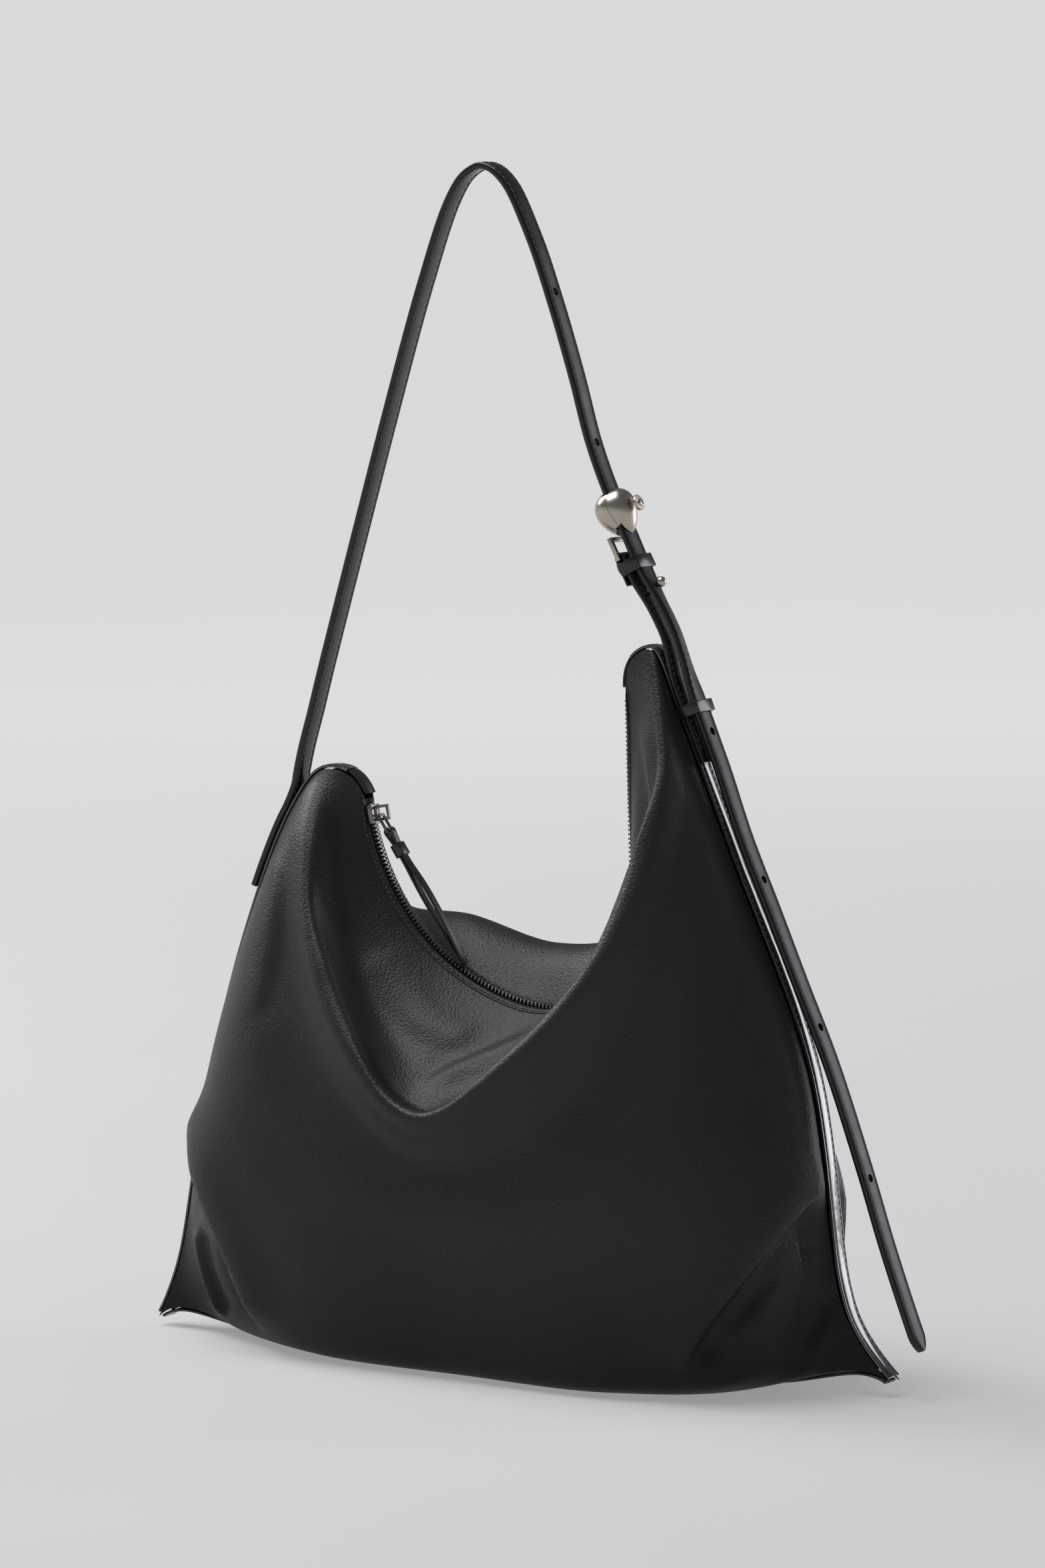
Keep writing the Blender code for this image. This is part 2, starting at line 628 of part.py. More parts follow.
def build_buckle(line, stud_at, hinge_at):
    bead_at, bead_along, bead_out = frame_at(line, stud_at - BEAD_ABOVE_STUD)
    across = np.array([0.0, 1.0, 0.0])
    ring_centre = bead_at + bead_along * RING_BELOW_BEAD - bead_out * RING_OFFSET
    fold = ring_centre + bead_along * (RING_LENGTH / 2 + GAP)
    inner = offset(line, -BILLET_OFFSET)
    start = nearest(inner, fold[::2])
    end = hinge_crossing(inner) - HINGE_CLEARANCE
    billet = cut(inner, start, end, BILLET_SPACING)
    ribbon("billet_strap", billet, STRAP_WIDTH, STRAP_THICKNESS, "polished_leather")
    opening = (RING_WIDTH - 2 * RING_BAR, RING_LENGTH - 2 * RING_BAR)
    band("buckle_ring", ring_centre, across, bead_along, *opening, RING_BAR, RING_BAR, "satin_nickel")

    slot_depth = STRAP_THICKNESS + 2 * BEAD_SLOT_CLEARANCE
    slot_outline = box_outline(STRAP_WIDTH + 2 * BEAD_SLOT_CLEARANCE, 3 * BEAD_LENGTH)
    wall = box_outline(3 * BEAD_WIDTH, 3 * BEAD_LENGTH)
    for name, side in (("bead_inner_half", -1), ("bead_outer_half", 1)):
        egg = bead(name, bead_at, bead_along, bead_out)
        keep = bead_at - side * bead_out * (1.5 * BEAD_DEPTH - GAP / 2)
        other = (wall, 3 * BEAD_DEPTH)
        half = cutter(prism(name + "_split", other, keep, across, bead_along, "satin_nickel"))
        through = (slot_outline, slot_depth)
        slot = prism(name + "_slot", through, bead_at, across, bead_along, "satin_nickel")
        subtract(egg, half)
        subtract(egg, cutter(slot))
    boss = [(0, 0), (0, BOSS_RADIUS), (BOSS_HEIGHT - BOSS_CHAMFER, BOSS_RADIUS),
            (BOSS_HEIGHT, BOSS_RADIUS - BOSS_CHAMFER), (BOSS_HEIGHT, 0)]
    boss_at = bead_at + bead_out * (BEAD_DEPTH / 2 + BEAD_CROWN + 2 * GAP)
    turned("bead_boss", boss, boss_at, bead_out, "satin_nickel")

    ring_end = stud_at - BEAD_ABOVE_STUD + RING_BELOW_BEAD + RING_LENGTH / 2
    keeper_mid = ring_end + UPPER_KEEPER_DROP + UPPER_KEEPER_HEIGHT / 2
    at, along, out = frame_at(line, keeper_mid)
    inner_depth = BILLET_OFFSET + STRAP_THICKNESS + 2 * KEEPER_CLEARANCE
    inner_width = STRAP_WIDTH + 2 * KEEPER_CLEARANCE
    band("upper_keeper", at - out * BILLET_OFFSET / 2, across, out, inner_width, inner_depth,
         KEEPER_WALL, UPPER_KEEPER_HEIGHT, "polished_leather")

    at, along, out = frame_at(line, stud_at)
    face = -BILLET_OFFSET + STRAP_THICKNESS / 2 + GAP
    top = face + STUD_BASE_THICKNESS
    ball = STRAP_THICKNESS / 2 + STUD_RISE
    profile = [(face, 0), (face, STUD_BASE_RADIUS), (top, STUD_BASE_RADIUS), (top + 0.1, STUD_NECK_RADIUS),
               (ball, STUD_NECK_RADIUS)]
    for k in range(1, 6):
        a = math.pi * (1 - k / 6)
        profile.append((ball + STUD_BALL_RADIUS * (1 + math.cos(a)), STUD_BALL_RADIUS * math.sin(a)))
    profile.append((ball + 2 * STUD_BALL_RADIUS, 0))
    turned("ball_stud", profile, at, out, "satin_nickel")


def bead(name, at, along, out):
    """A pebble, fuller at its upper end, about the strap's direction."""
    vertices, faces = [], []
    rings, sides = 9, 16
    across = np.array([0.0, 1.0, 0.0])
    for r in range(rings + 1):
        a = math.pi * r / rings
        fat = math.sin(a) * (1 + BEAD_FULLNESS * math.cos(a))
        for k in range(sides if 0 < r < rings else 1):
            b = 2 * math.pi * k / sides
            point = at - along * BEAD_LENGTH / 2 * math.cos(a)
            point = point + across * BEAD_WIDTH / 2 * fat * math.cos(b)
            point = point + out * (BEAD_DEPTH / 2 * fat * math.sin(b) + BEAD_CROWN * math.sin(a))
            vertices.append(point)
    last = len(vertices) - 1
    for k in range(sides):
        n = (k + 1) % sides
        faces.append((0, 1 + k, 1 + n))
        faces.append((last, last - sides + n, last - sides + k))
        for r in range(rings - 2):
            a = 1 + r * sides
            faces.append((a + k, a + sides + k, a + sides + n, a + n))
    return outward(solid(name, vertices, faces, "satin_nickel"))


def build_tabs(line, keeper_at):
    stand_off = STRIP_THICKNESS + STRIP_SEAT + GAP + STRAP_THICKNESS / 2
    left = offset(seam(-1), -stand_off)
    top = nearest(left, placed(*HINGE_LEFT)) + HINGE_CLEARANCE
    tab = cut(left, top, top + TAB_LENGTH, TAB_SPACING)
    ribbon("left_strap_tab", tab, STRAP_WIDTH, STRAP_THICKNESS, "polished_leather")
    right = offset(seam(1), stand_off)
    top = nearest(right, placed(*HINGE_RIGHT)) + HINGE_CLEARANCE
    tab = cut(right, top, top + TAB_LENGTH, TAB_SPACING)
    ribbon("right_strap_tab", tab, STRAP_WIDTH, STRAP_THICKNESS, "polished_leather")
    at, along, out = frame_at(line, keeper_at)
    tab_at, _, _ = frame_at(right, nearest(right, at[::2]))
    far = STRAP_THICKNESS / 2 + GAP
    near = -float((at - tab_at) @ out) - STRAP_THICKNESS / 2
    half = STRAP_WIDTH / 2 + GAP
    outline = [
        (-half - KEEPER_WALL, near), (-half, near), (-half, far), (half, far), (half, near),
        (half + KEEPER_WALL, near), (half + KEEPER_WALL, far + KEEPER_WALL),
        (-half - KEEPER_WALL, far + KEEPER_WALL),
    ]
    across = np.array([0.0, 1.0, 0.0])
    prism("lower_keeper", (outline, LOWER_KEEPER_HEIGHT), at, across, out, "polished_leather")


# ---------------------------------------------------------------- the zip


def build_zip():
    line = zip_line()
    total = lengths(line)[-1]
    for name, side in (("front", -1), ("back", 1)):
        middle = GAP / 2 + TEETH_WIDTH / 2
        chain = cut(line, ZIP_END, total - ZIP_END, ZIP_SPACING)
        ribbon("zip_teeth_" + name, chain, TEETH_WIDTH, TEETH_HEIGHT, "zip_metal",
               y=side * middle, lift=TEETH_HEIGHT / 2 + 1.5 * GAP)
        reach = ZIP_RIM - GAP
        tape = cut(line, SEAM_END, total - SEAM_END, ZIP_SPACING)
        ribbon("zip_tape_" + name, tape, reach - GAP / 2, TAPE_THICKNESS, "zip_tape",
               y=side * (reach + GAP / 2) / 2, lift=-TAPE_THICKNESS / 2)

    slider_at, along, up = frame_at(line, ZIP_END + SLIDER_LENGTH / 2)
    across = np.array([0.0, 1.0, 0.0])
    inside = GAP / 2 + TEETH_WIDTH + GAP
    half = SLIDER_WIDTH / 2
    low, high = 2 * GAP, TEETH_HEIGHT + 3 * GAP
    outline = [(-half, low), (-inside, low), (-inside, high), (inside, high), (inside, low), (half, low),
               (half, high + SLIDER_WALL), (-half, high + SLIDER_WALL)]
    prism("slider_body", (outline, SLIDER_LENGTH), slider_at, across, up, "zip_metal")

    base = high + SLIDER_WALL + GAP
    end = BRIDGE_LENGTH / 2
    floor = base + 1.0
    roof = floor + BRIDGE_EYE
    bridge = [(-end, base), (end, base), (end, roof), (end - 1.0, roof + 1.2), (1.0 - end, roof + 1.2),
              (-end, roof)]
    eye_end = end - BRIDGE_BAR
    shoulder = floor + BRIDGE_EYE * 0.8
    eye_hole = [(-eye_end, floor), (eye_end, floor), (eye_end, shoulder), (eye_end - 0.4, roof),
                (0.4 - eye_end, roof), (-eye_end, shoulder)]
    prism("slider_bridge", (bridge, BRIDGE_WIDTH), slider_at, along, up, "zip_metal", hole=eye_hole)

    link_pivot = slider_at + along * BRIDGE_AHEAD + up * (floor + BRIDGE_EYE / 2)
    run = PULL_LENGTH + LINK_LENGTH
    tip_from = nearest(line, link_pivot[::2]) + run
    tip, _, tip_up = frame_at(line, tip_from)
    tip = tip + tip_up * (PULL_THICKNESS / 2 + TEETH_HEIGHT + PULL_REST)
    down = (tip - link_pivot) / np.linalg.norm(tip - link_pivot)
    lift = np.cross(across, down)
    lift = lift * (1 if lift @ up > 0 else -1)
    link_centre = link_pivot + down * (LINK_LENGTH / 2 - LINK_BAR / 2)
    opening = (LINK_WIDTH - 2 * LINK_BAR, LINK_LENGTH - 2 * LINK_BAR)
    band("pull_link", link_centre, across, down, *opening, LINK_BAR, LINK_BAR, "zip_metal")

    pull_pivot = link_pivot + down * (LINK_LENGTH - LINK_BAR)
    eye_radius = LINK_BAR * 0.72 + GAP
    loop_radius = eye_radius + PULL_WALL
    outline = []
    for k in range(9):
        a = math.radians(60 + 240 * k / 8)
        outline.append((loop_radius * math.cos(a), loop_radius * math.sin(a)))
    half = PULL_THICKNESS / 2
    taper = PULL_LENGTH - PULL_TAPER
    outline += [(loop_radius + 2.0, -half), (taper, -half), (PULL_LENGTH, -half / 3), (PULL_LENGTH, half / 3),
                (taper, half), (loop_radius + 2.0, half)]
    pull = prism("pull_strap", (outline, LINK_WIDTH - 2 * LINK_BAR - 2 * GAP), pull_pivot, down, lift,
                 "polished_leather")
    eye_tool = cutter(cylinder("pull_eye", pull_pivot, across, eye_radius, 3 * LINK_WIDTH))
    subtract(pull, eye_tool)
    collar_at = pull_pivot + down * COLLAR_BELOW_EYE
    opening = (LINK_WIDTH - 2 * LINK_BAR, PULL_THICKNESS + 2 * GAP)
    band("pull_collar", collar_at, across, lift, *opening, COLLAR_WALL, COLLAR_LENGTH, "polished_leather")
    centre = zip_arc()[0]
    pivot("zip_centre", (centre[0], 0.0, centre[1]), ["slider_body", "slider_bridge"])
    pivot("link_hinge", link_pivot, ["pull_link"])
    pivot("pull_hinge", pull_pivot, ["pull_strap", "pull_collar"])


def pivot(name, at, pieces):
    """An empty on a joint's axis that carries the pieces that turn about it."""
    empty = bpy.data.objects.new(name, None)
    empty.location = [float(c) * MM for c in at]
    bpy.context.scene.collection.objects.link(empty)
    bpy.context.view_layer.update()
    for piece in pieces:
        child = bpy.data.objects[piece]
        child.parent = empty
        child.matrix_parent_inverse = empty.matrix_world.inverted()


def main():
    for old in list(bpy.data.objects):
        bpy.data.objects.remove(old, do_unlink=True)
    build_body()
    build_strips()
    build_strap()
    build_zip()


main()
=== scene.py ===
"""The look of a slouchy leather hobo bag: soft panels, glossy strips and straps, a zip and a bead buckle."""
import math

import bmesh
import bpy
import numpy as np
from mathutils import Matrix, Vector


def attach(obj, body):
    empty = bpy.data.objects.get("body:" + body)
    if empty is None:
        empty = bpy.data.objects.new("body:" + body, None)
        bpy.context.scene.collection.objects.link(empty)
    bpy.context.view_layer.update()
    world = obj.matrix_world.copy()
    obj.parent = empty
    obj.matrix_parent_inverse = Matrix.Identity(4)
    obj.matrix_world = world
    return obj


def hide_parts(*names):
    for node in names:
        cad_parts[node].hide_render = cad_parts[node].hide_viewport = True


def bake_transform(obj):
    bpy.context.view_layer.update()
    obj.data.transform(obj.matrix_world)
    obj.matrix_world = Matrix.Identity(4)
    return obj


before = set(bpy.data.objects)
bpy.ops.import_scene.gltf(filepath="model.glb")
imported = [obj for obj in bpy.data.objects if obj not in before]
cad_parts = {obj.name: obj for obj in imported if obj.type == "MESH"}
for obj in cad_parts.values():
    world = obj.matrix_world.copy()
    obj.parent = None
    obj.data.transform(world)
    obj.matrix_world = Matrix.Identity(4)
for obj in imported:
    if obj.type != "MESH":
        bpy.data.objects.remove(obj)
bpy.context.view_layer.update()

MM = 0.001
STEP = 2.5                   # mm between samples along a line
ALONG_Y = np.array([0.0, 1.0, 0.0])

# ---------------------------------------------------------------- sizes, in millimetres

GAP = 0.3
STRIP_WIDTH = 12.5
STRIP_THICKNESS = 1.6
STRIP_SEAT = 0.8
STRAP_WIDTH = 15.0
STRAP_THICKNESS = 3.6
BILLET_THICKNESS = 3.2
HOLE_RADIUS = 2.4
HOLE_SPACING = 88.0
BILLET_OFFSET = 6.8
BEAD_LENGTH, BEAD_WIDTH, BEAD_DEPTH = 28.0, 23.0, 23.0
BEAD_RINGS = 28
BEAD_LIFT = 1.5
SLOT_PLAY = 1.0
BEAD_ABOVE_STUD = 46.0
RING_WIDTH, RING_LENGTH, RING_BAR = 20.0, 14.0, 2.6
RING_BELOW_BEAD = 18.5
RING_OFFSET = 8.0
KEEPER_BELOW_HINGE = 30.0
KEEPER_WALL, KEEPER_CORNER = 1.3, 2.2
UPPER_KEEPER_HEIGHT, UPPER_KEEPER_PLAY = 8.0, 0.6
LOWER_KEEPER_HEIGHT, LOWER_KEEPER_PLAY = 7.0, 0.8
STUD_BALL, STUD_BASE, STUD_NECK = 3.1, 3.5, 1.6
FOLD_PLY = 1.7
STRAP_TWIST, BILLET_TWIST = -17, -14
TAB_LENGTH = 56.0
HINGE_CLEARANCE = 4.8
SKIN, LINING, POCKET_CLOTH = 1.4, 0.6, 0.8
LINING_DEPTH = 3.4
POCKET_DEPTH = 4.6
ZIP_RIM = 4.9
ZIP_END = 6.0
TAPE_WIDTH, TAPE_OFFSET = 4.7, 2.75
TOOTH_PITCH = 2.5
TOOTH_SEAT = 0.9
TOOTH_WIDTH, TOOTH_LENGTH, TOOTH_HEIGHT = 1.1, 3.3, 1.6
TOOTH_REACH = 0.6
SLIDER_LENGTH, SLIDER_WIDTH = 11.0, 9.4
SLIDER_FLOOR, SLIDER_CEILING, SLIDER_WALL = 0.6, 2.5, 1.2
SLIDER_CHANNEL = 6.7
BAIL_WIDTH, BAIL_HEIGHT, BAIL_WIRE, BAIL_DEPTH = 9.0, 9.4, 1.6, 2.6
BAIL_SEAT = 0.6
LINK_WIDTH, LINK_LENGTH, LINK_WIRE = 7.4, 13.0, 1.7
PIVOT_CLEARANCE = 2.3
PULL_LENGTH = 88.0
PULL_WIDTH, PULL_PLY, PULL_EYE = 5.2, 1.6, 2.15
PULL_BELOW_PIVOT = 11.4
COLLAR_WIDTH, COLLAR_THICKNESS, COLLAR_WALL, COLLAR_LENGTH = 7.4, 5.8, 0.85, 8.0
COLLAR_BELOW_EYE = 12.0
STITCH_PITCH = 4.0
STITCH_SHARE = 0.74
HEM_PITCH = 3.2
HEM_STITCH_DOWN = 2.3
THREAD = 0.8

# ---------------------------------------------------------------- the studio, in metres

VIEW_TURN, VIEW_DISTANCE, VIEW_HEIGHT = math.radians(30.0), 4.2, 0.74
VIEW_TARGET = (0.002, 0.0, 0.33)
PAPER_SIZE = 400.0
GLOW_NEAR, GLOW_FAR = 0.29, 0.64
WALL_LIGHT = (0.701, 0.701, 0.706, 1.0)
ROOM_LIGHT = (0.15, 0.15, 0.162, 1.0)

# ---------------------------------------------------------------- the bag's guide lines, as x, depth, z

ZIP_LEFT = (-100.0, 319.0)
ZIP_CENTRE = (29.0, 332.0)
ZIP_RIGHT = (72.0, 388.0)
ZIP_RIGHT_X = 76.0
ZIP_TURN = math.radians(263.0)
ZIP_SHARES = (0.0, 0.10, 0.22, 0.35, 0.46, 0.57, 0.70, 0.85, 1.0)
LEFT_SEAM = (
    ZIP_LEFT, (-111, 331), (-128, 332), (-148, 308), (-179, 235),
    (-207, 135), (-224, 45), (-232, 22), (-240, 6),
)
RIGHT_SEAM = (
    ZIP_RIGHT, (76, 404), (88, 410), (103, 380), (138, 299),
    (188, 180), (208, 58), (217, 36), (240, 9),
)
FRONT_GUIDES = (
    ((-106, 18, 288), (-88, 32, 240), (-54, 48, 194), (-8, 56, 168), (46, 48, 190), (80, 38, 252),
     (88, 20, 330)),
    ((-119, 32, 298), (-105, 53, 250), (-66, 77, 188), (-16, 88, 149), (46, 89, 186), (94, 74, 244),
     (109, 44, 318)),
    ((-136, 32, 284), (-122, 52, 226), (-80, 74, 160), (-12, 82, 122), (62, 82, 148), (114, 66, 214),
     (126, 38, 292)),
    ((-168, 36, 212), (-146, 62, 172), (-90, 80, 112), (-5, 88, 88), (85, 90, 104), (140, 74, 160),
     (155, 38, 228)),
    ((-195, 34, 122), (-170, 62, 90), (-100, 82, 58), (0, 88, 46), (100, 92, 52), (170, 76, 84),
     (196, 36, 130)),
    ((-210, 14, 32), (-178, 32, 18), (-110, 62, 9), (0, 78, 8), (105, 87, 9), (170, 62, 15), (200, 22, 34)),
    ((-214, 9, 17), (-175, 20, 5), (-100, 44, 0), (0, 60, 0), (100, 66, 0), (165, 42, 4), (206, 13, 21)),
    ((-226, 0, 12), (-175, 0, 5), (-100, 0, 2.4), (0, 0, 2.4), (100, 0, 2.4), (170, 0, 5), (224, 0, 14)),
)
BACK_GUIDES = (
    ((-112, 18, 298), (-100, 38, 256), (-56, 44, 248), (0, 44, 235), (46, 42, 244), (74, 32, 290),
     (84, 18, 352)),
    ((-128, 34, 284), (-108, 58, 240), (-62, 70, 226), (0, 74, 210), (58, 72, 222), (94, 54, 264),
     (102, 32, 330)),
    ((-146, 38, 262), (-126, 64, 212), (-72, 80, 190), (0, 84, 176), (70, 82, 186), (110, 62, 224),
     (119, 36, 290)),
    ((-168, 40, 206), (-146, 68, 160), (-86, 86, 130), (0, 90, 118), (86, 86, 128), (132, 68, 162),
     (143, 38, 228)),
    ((-192, 36, 118), (-168, 68, 86), (-98, 88, 66), (0, 92, 60), (98, 88, 66), (158, 68, 88),
     (178, 36, 130)),
    ((-210, 16, 32), (-176, 40, 18), (-110, 66, 9), (0, 78, 8), (105, 80, 9), (166, 54, 15), (198, 22, 34)),
    ((-214, 9, 17), (-175, 22, 5), (-100, 46, 0), (0, 58, 0), (100, 60, 0), (163, 38, 4), (206, 12, 21)),
    ((-226, 0, 12), (-175, 0, 5), (-100, 0, 2.4), (0, 0, 2.4), (100, 0, 2.4), (170, 0, 5), (224, 0, 14)),
)
# Pulled folds of the front and the back: points x, z along the crest, the crest's height, the drop beside it,
# the breadth of the gentle side, the breadth of the steep side, and which side of the line is steep.
FRONT_FOLDS = (
    (((-122, 300), (-112, 262), (-97, 234), (-66, 189), (-38, 158), (-16, 149), (4, 154), (26, 170),
      (60, 202), (90, 240), (103, 288), (110, 326), (110, 352), (102, 376), (90, 394)),
     3.4, 6.0, 12.0, 8.0, 1),
    (((-214, 140), (-190, 112), (-167, 82), (-151, 54), (-142, 30), (-138, 8)), 6.5, 9.0, 20.0, 7.0, -1),
    (((210, 140), (199, 112), (187, 86), (174, 64), (158, 40), (146, 16)), 6.5, 9.0, 20.0, 7.0, 1),
    (((213, 60), (207, 38), (196, 10)), 4.5, 3.0, 8.0, 6.0, -1),
    (((190, 62), (181, 34)), 2.0, 2.0, 7.0, 5.0, -1),
    (((-200, 66), (-192, 36), (-182, 10)), 3.0, 2.5, 8.0, 5.0, 1),
    (((82, 372), (94, 350), (100, 322), (99, 296)), 1.8, 1.6, 8.0, 7.0, -1),
    (((-150, 292), (-142, 262), (-140, 230), (-146, 190)), 0.9, 0.9, 13.0, 12.0, 1),
    (((-84, 236), (-64, 214), (-40, 196), (-8, 186)), 1.2, 1.0, 9.0, 9.0, -1),
    (((-30, 164), (-14, 172), (8, 184), (28, 196)), 1.3, 1.0, 8.0, 7.0, 1),
)
BACK_FOLDS = (
    (((-128, 296), (-112, 246), (-66, 214), (0, 196), (62, 210), (98, 262), (106, 320)),
     2.0, 3.5, 14.0, 9.0, 1),
    (((-214, 138), (-188, 106), (-162, 78), (-146, 50), (-138, 10)), 6.0, 8.0, 20.0, 7.0, -1),
    (((209, 140), (192, 106), (176, 76), (159, 44), (146, 14)), 6.0, 8.0, 20.0, 7.0, 1),
    (((212, 54), (205, 34), (196, 14)), 3.0, 2.0, 8.0, 6.0, -1),
    (((-196, 60), (-188, 30)), 2.4, 2.0, 8.0, 5.0, 1),
)
STRAP_POINTS = (
    (-147, 318), (-142, 342), (-135, 366), (-128, 391), (-98, 493), (-87, 530), (-61, 613), (-43, 660),
    (-33, 674), (-21, 679), (-8, 671), (9, 640), (23, 604), (37, 562), (48, 525), (59, 498), (71, 474),
    (79, 458), (86, 446), (94, 433), (101, 420), (106, 407), (111, 393), (117, 378), (124, 361),
    (131, 344), (145, 307), (162, 269), (180, 228), (200, 183), (221, 126), (236, 82), (257, 27),
)
HINGE_LEFT = (-147.0, 318.0)
HINGE_RIGHT = (98.0, 404.0)
STUD_POINT = (85.0, 444.0)


# ---------------------------------------------------------------- camera, stage and light


def linear(hex_code):
    """An sRGB hex colour as linear red, green, blue and alpha."""
    values = [int(hex_code[k:k + 2], 16) / 255 for k in (1, 3, 5)]
    return [v / 12.92 if v <= 0.04045 else ((v + 0.055) / 1.055) ** 2.4 for v in values] + [1.0]


def aim(obj, target):
    obj.rotation_euler = (Vector(target) - obj.location).to_track_quat("-Z", "Y").to_euler()


def add_camera():
    x = VIEW_TARGET[0] + VIEW_DISTANCE * math.sin(VIEW_TURN)
    bpy.ops.object.camera_add(location=(x, -VIEW_DISTANCE * math.cos(VIEW_TURN), VIEW_HEIGHT))
    camera = bpy.context.object
    camera.data.lens = 171.17
    camera.data.sensor_width = 36.0
    camera.data.clip_end = PAPER_SIZE
    aim(camera, VIEW_TARGET)
    bpy.context.scene.camera = camera


def add_softbox(name, place, target, size, power, colour="#ffffff"):
    bpy.ops.object.light_add(type="AREA", location=place)
    lamp = bpy.context.object
    lamp.name = name
    lamp.data.shape = "RECTANGLE"
    lamp.data.size, lamp.data.size_y = size
    lamp.data.energy = power
    lamp.data.color = linear(colour)[:3]
    lamp.visible_camera = False
    aim(lamp, target)


def add_light():
    world = bpy.data.worlds.new("studio_air")
    bpy.context.scene.world = world
    world.use_nodes = True
    # The far wall of the studio is as pale as the paper; above it, the room is dim.
    tree = world.node_tree
    course = add_node(tree, "ShaderNodeTexCoord").outputs["Generated"]
    way = add_node(tree, "ShaderNodeSeparateXYZ", links={"Vector": course})
    rise = add_node(tree, "ShaderNodeMapRange", {"From Min": 0.03, "From Max": 0.12},
                    {"Value": way.outputs["Z"]}, interpolation_type="SMOOTHSTEP")
    room = add_node(tree, "ShaderNodeMix", {"A": WALL_LIGHT, "B": ROOM_LIGHT},
                    {"Factor": rise.outputs["Result"]}, data_type="RGBA")
    tree.links.new(room.outputs["Result"], tree.nodes["Background"].inputs["Color"])
    bpy.context.scene.view_settings.view_transform = "Standard"
    add_softbox("top_softbox", (-0.7, -0.5, 2.8), (0.0, 0.0, 0.2), (2.2, 1.8), 66.0)
    add_softbox("left_softbox", (-2.5, 0.2, 1.9), (0.0, 0.0, 0.3), (1.2, 1.6), 46.0)
    add_softbox("right_card", (1.5, 2.1, 0.75), (0.15, 0.0, 0.3), (1.1, 1.5), 20.0, "#f1eef6")


# ---------------------------------------------------------------- materials


def add_node(tree, kind, values=None, links=None, **settings):
    """Adds a node with its settings, socket values and links."""
    made = tree.nodes.new(kind)
    for key, value in settings.items():
        setattr(made, key, value)
    for key, value in (values or {}).items():
        made.inputs[key].default_value = value
    for key, source in (links or {}).items():
        tree.links.new(source, made.inputs[key])
    return made


def new_finish(name, colour, roughness, **sockets):
    """A material with a Principled shader: itself, its tree, its shader and its Object coordinates."""
    made = bpy.data.materials.new(name)
    made.use_nodes = True
    shader = made.node_tree.nodes["Principled BSDF"]
    shader.inputs["Base Color"].default_value = linear(colour)
    shader.inputs["Roughness"].default_value = roughness
    for key, value in sockets.items():
        shader.inputs[key.replace("_", " ").title().replace("Ior", "IOR")].default_value = value
    place = add_node(made.node_tree, "ShaderNodeTexCoord").outputs["Object"]
    return made, made.node_tree, shader, place


def nappa_leather():
    """Aniline-finished black nappa: matte, finely grained, cloudy in colour, with softly pulled wrinkles."""
    made, tree, shader, place = new_finish("nappa_leather", "#171618", 0.45, specular_ior_level=0.34)
    cloud = add_node(tree, "ShaderNodeTexNoise", {"Scale": 9.0, "Detail": 5.0, "Roughness": 0.6},
                     {"Vector": place})
    tone = add_node(tree, "ShaderNodeMix", {"A": linear("#1a191b"), "B": linear("#242225")},
                    {"Factor": cloud.outputs["Fac"]}, data_type="RGBA")
    tree.links.new(tone.outputs["Result"], shader.inputs["Base Color"])
    sheen = add_node(tree, "ShaderNodeMapRange", {"To Min": 0.36, "To Max": 0.50},
                     {"Value": cloud.outputs["Fac"]})
    tree.links.new(sheen.outputs["Result"], shader.inputs["Roughness"])
    # Painted shade: the leather is duller near the base, its reflection turned down by height so it reads
    # dark, as in the shade under the bag.
    height = add_node(tree, "ShaderNodeSeparateXYZ", links={"Vector": place}).outputs["Z"]
    painted_base_shade = add_node(tree, "ShaderNodeMapRange", {"From Max": 0.09, "To Min": 0.08, "To Max": 0.34},
                      {"Value": height})
    tree.links.new(painted_base_shade.outputs["Result"], shader.inputs["Specular IOR Level"])
    bent = add_node(tree, "ShaderNodeTexNoise", {"Scale": 420.0, "Detail": 2.0}, {"Vector": place})
    shifted = add_node(tree, "ShaderNodeMix", {"Factor": 0.0011}, {"A": place, "B": bent.outputs["Color"]},
                       data_type="VECTOR")
    # Real grain pebbles are 0.7 mm wide; they are drawn 1.3 mm wide so that they show.
    pebble = add_node(tree, "ShaderNodeTexVoronoi", {"Scale": 760.0}, {"Vector": shifted.outputs["Result"]})
    pulled = add_node(tree, "ShaderNodeTexNoise", {"Scale": 75.0, "Detail": 3.0, "Distortion": 0.6},
                      {"Vector": place})
    slack = add_node(tree, "ShaderNodeTexNoise", {"Scale": 17.0, "Detail": 2.0, "Distortion": 0.3},
                     {"Vector": place})
    grain = add_node(tree, "ShaderNodeBump", {"Strength": 0.45, "Distance": 0.0005},
                     {"Height": pebble.outputs["Distance"]}, invert=True)
    wrinkle = add_node(tree, "ShaderNodeBump", {"Strength": 0.14, "Distance": 0.0012},
                       {"Height": pulled.outputs["Fac"], "Normal": grain.outputs["Normal"]})
    swell = add_node(tree, "ShaderNodeBump", {"Strength": 0.22, "Distance": 0.006},
                     {"Height": slack.outputs["Fac"], "Normal": wrinkle.outputs["Normal"]})
    tree.links.new(swell.outputs["Normal"], shader.inputs["Normal"])
    return made


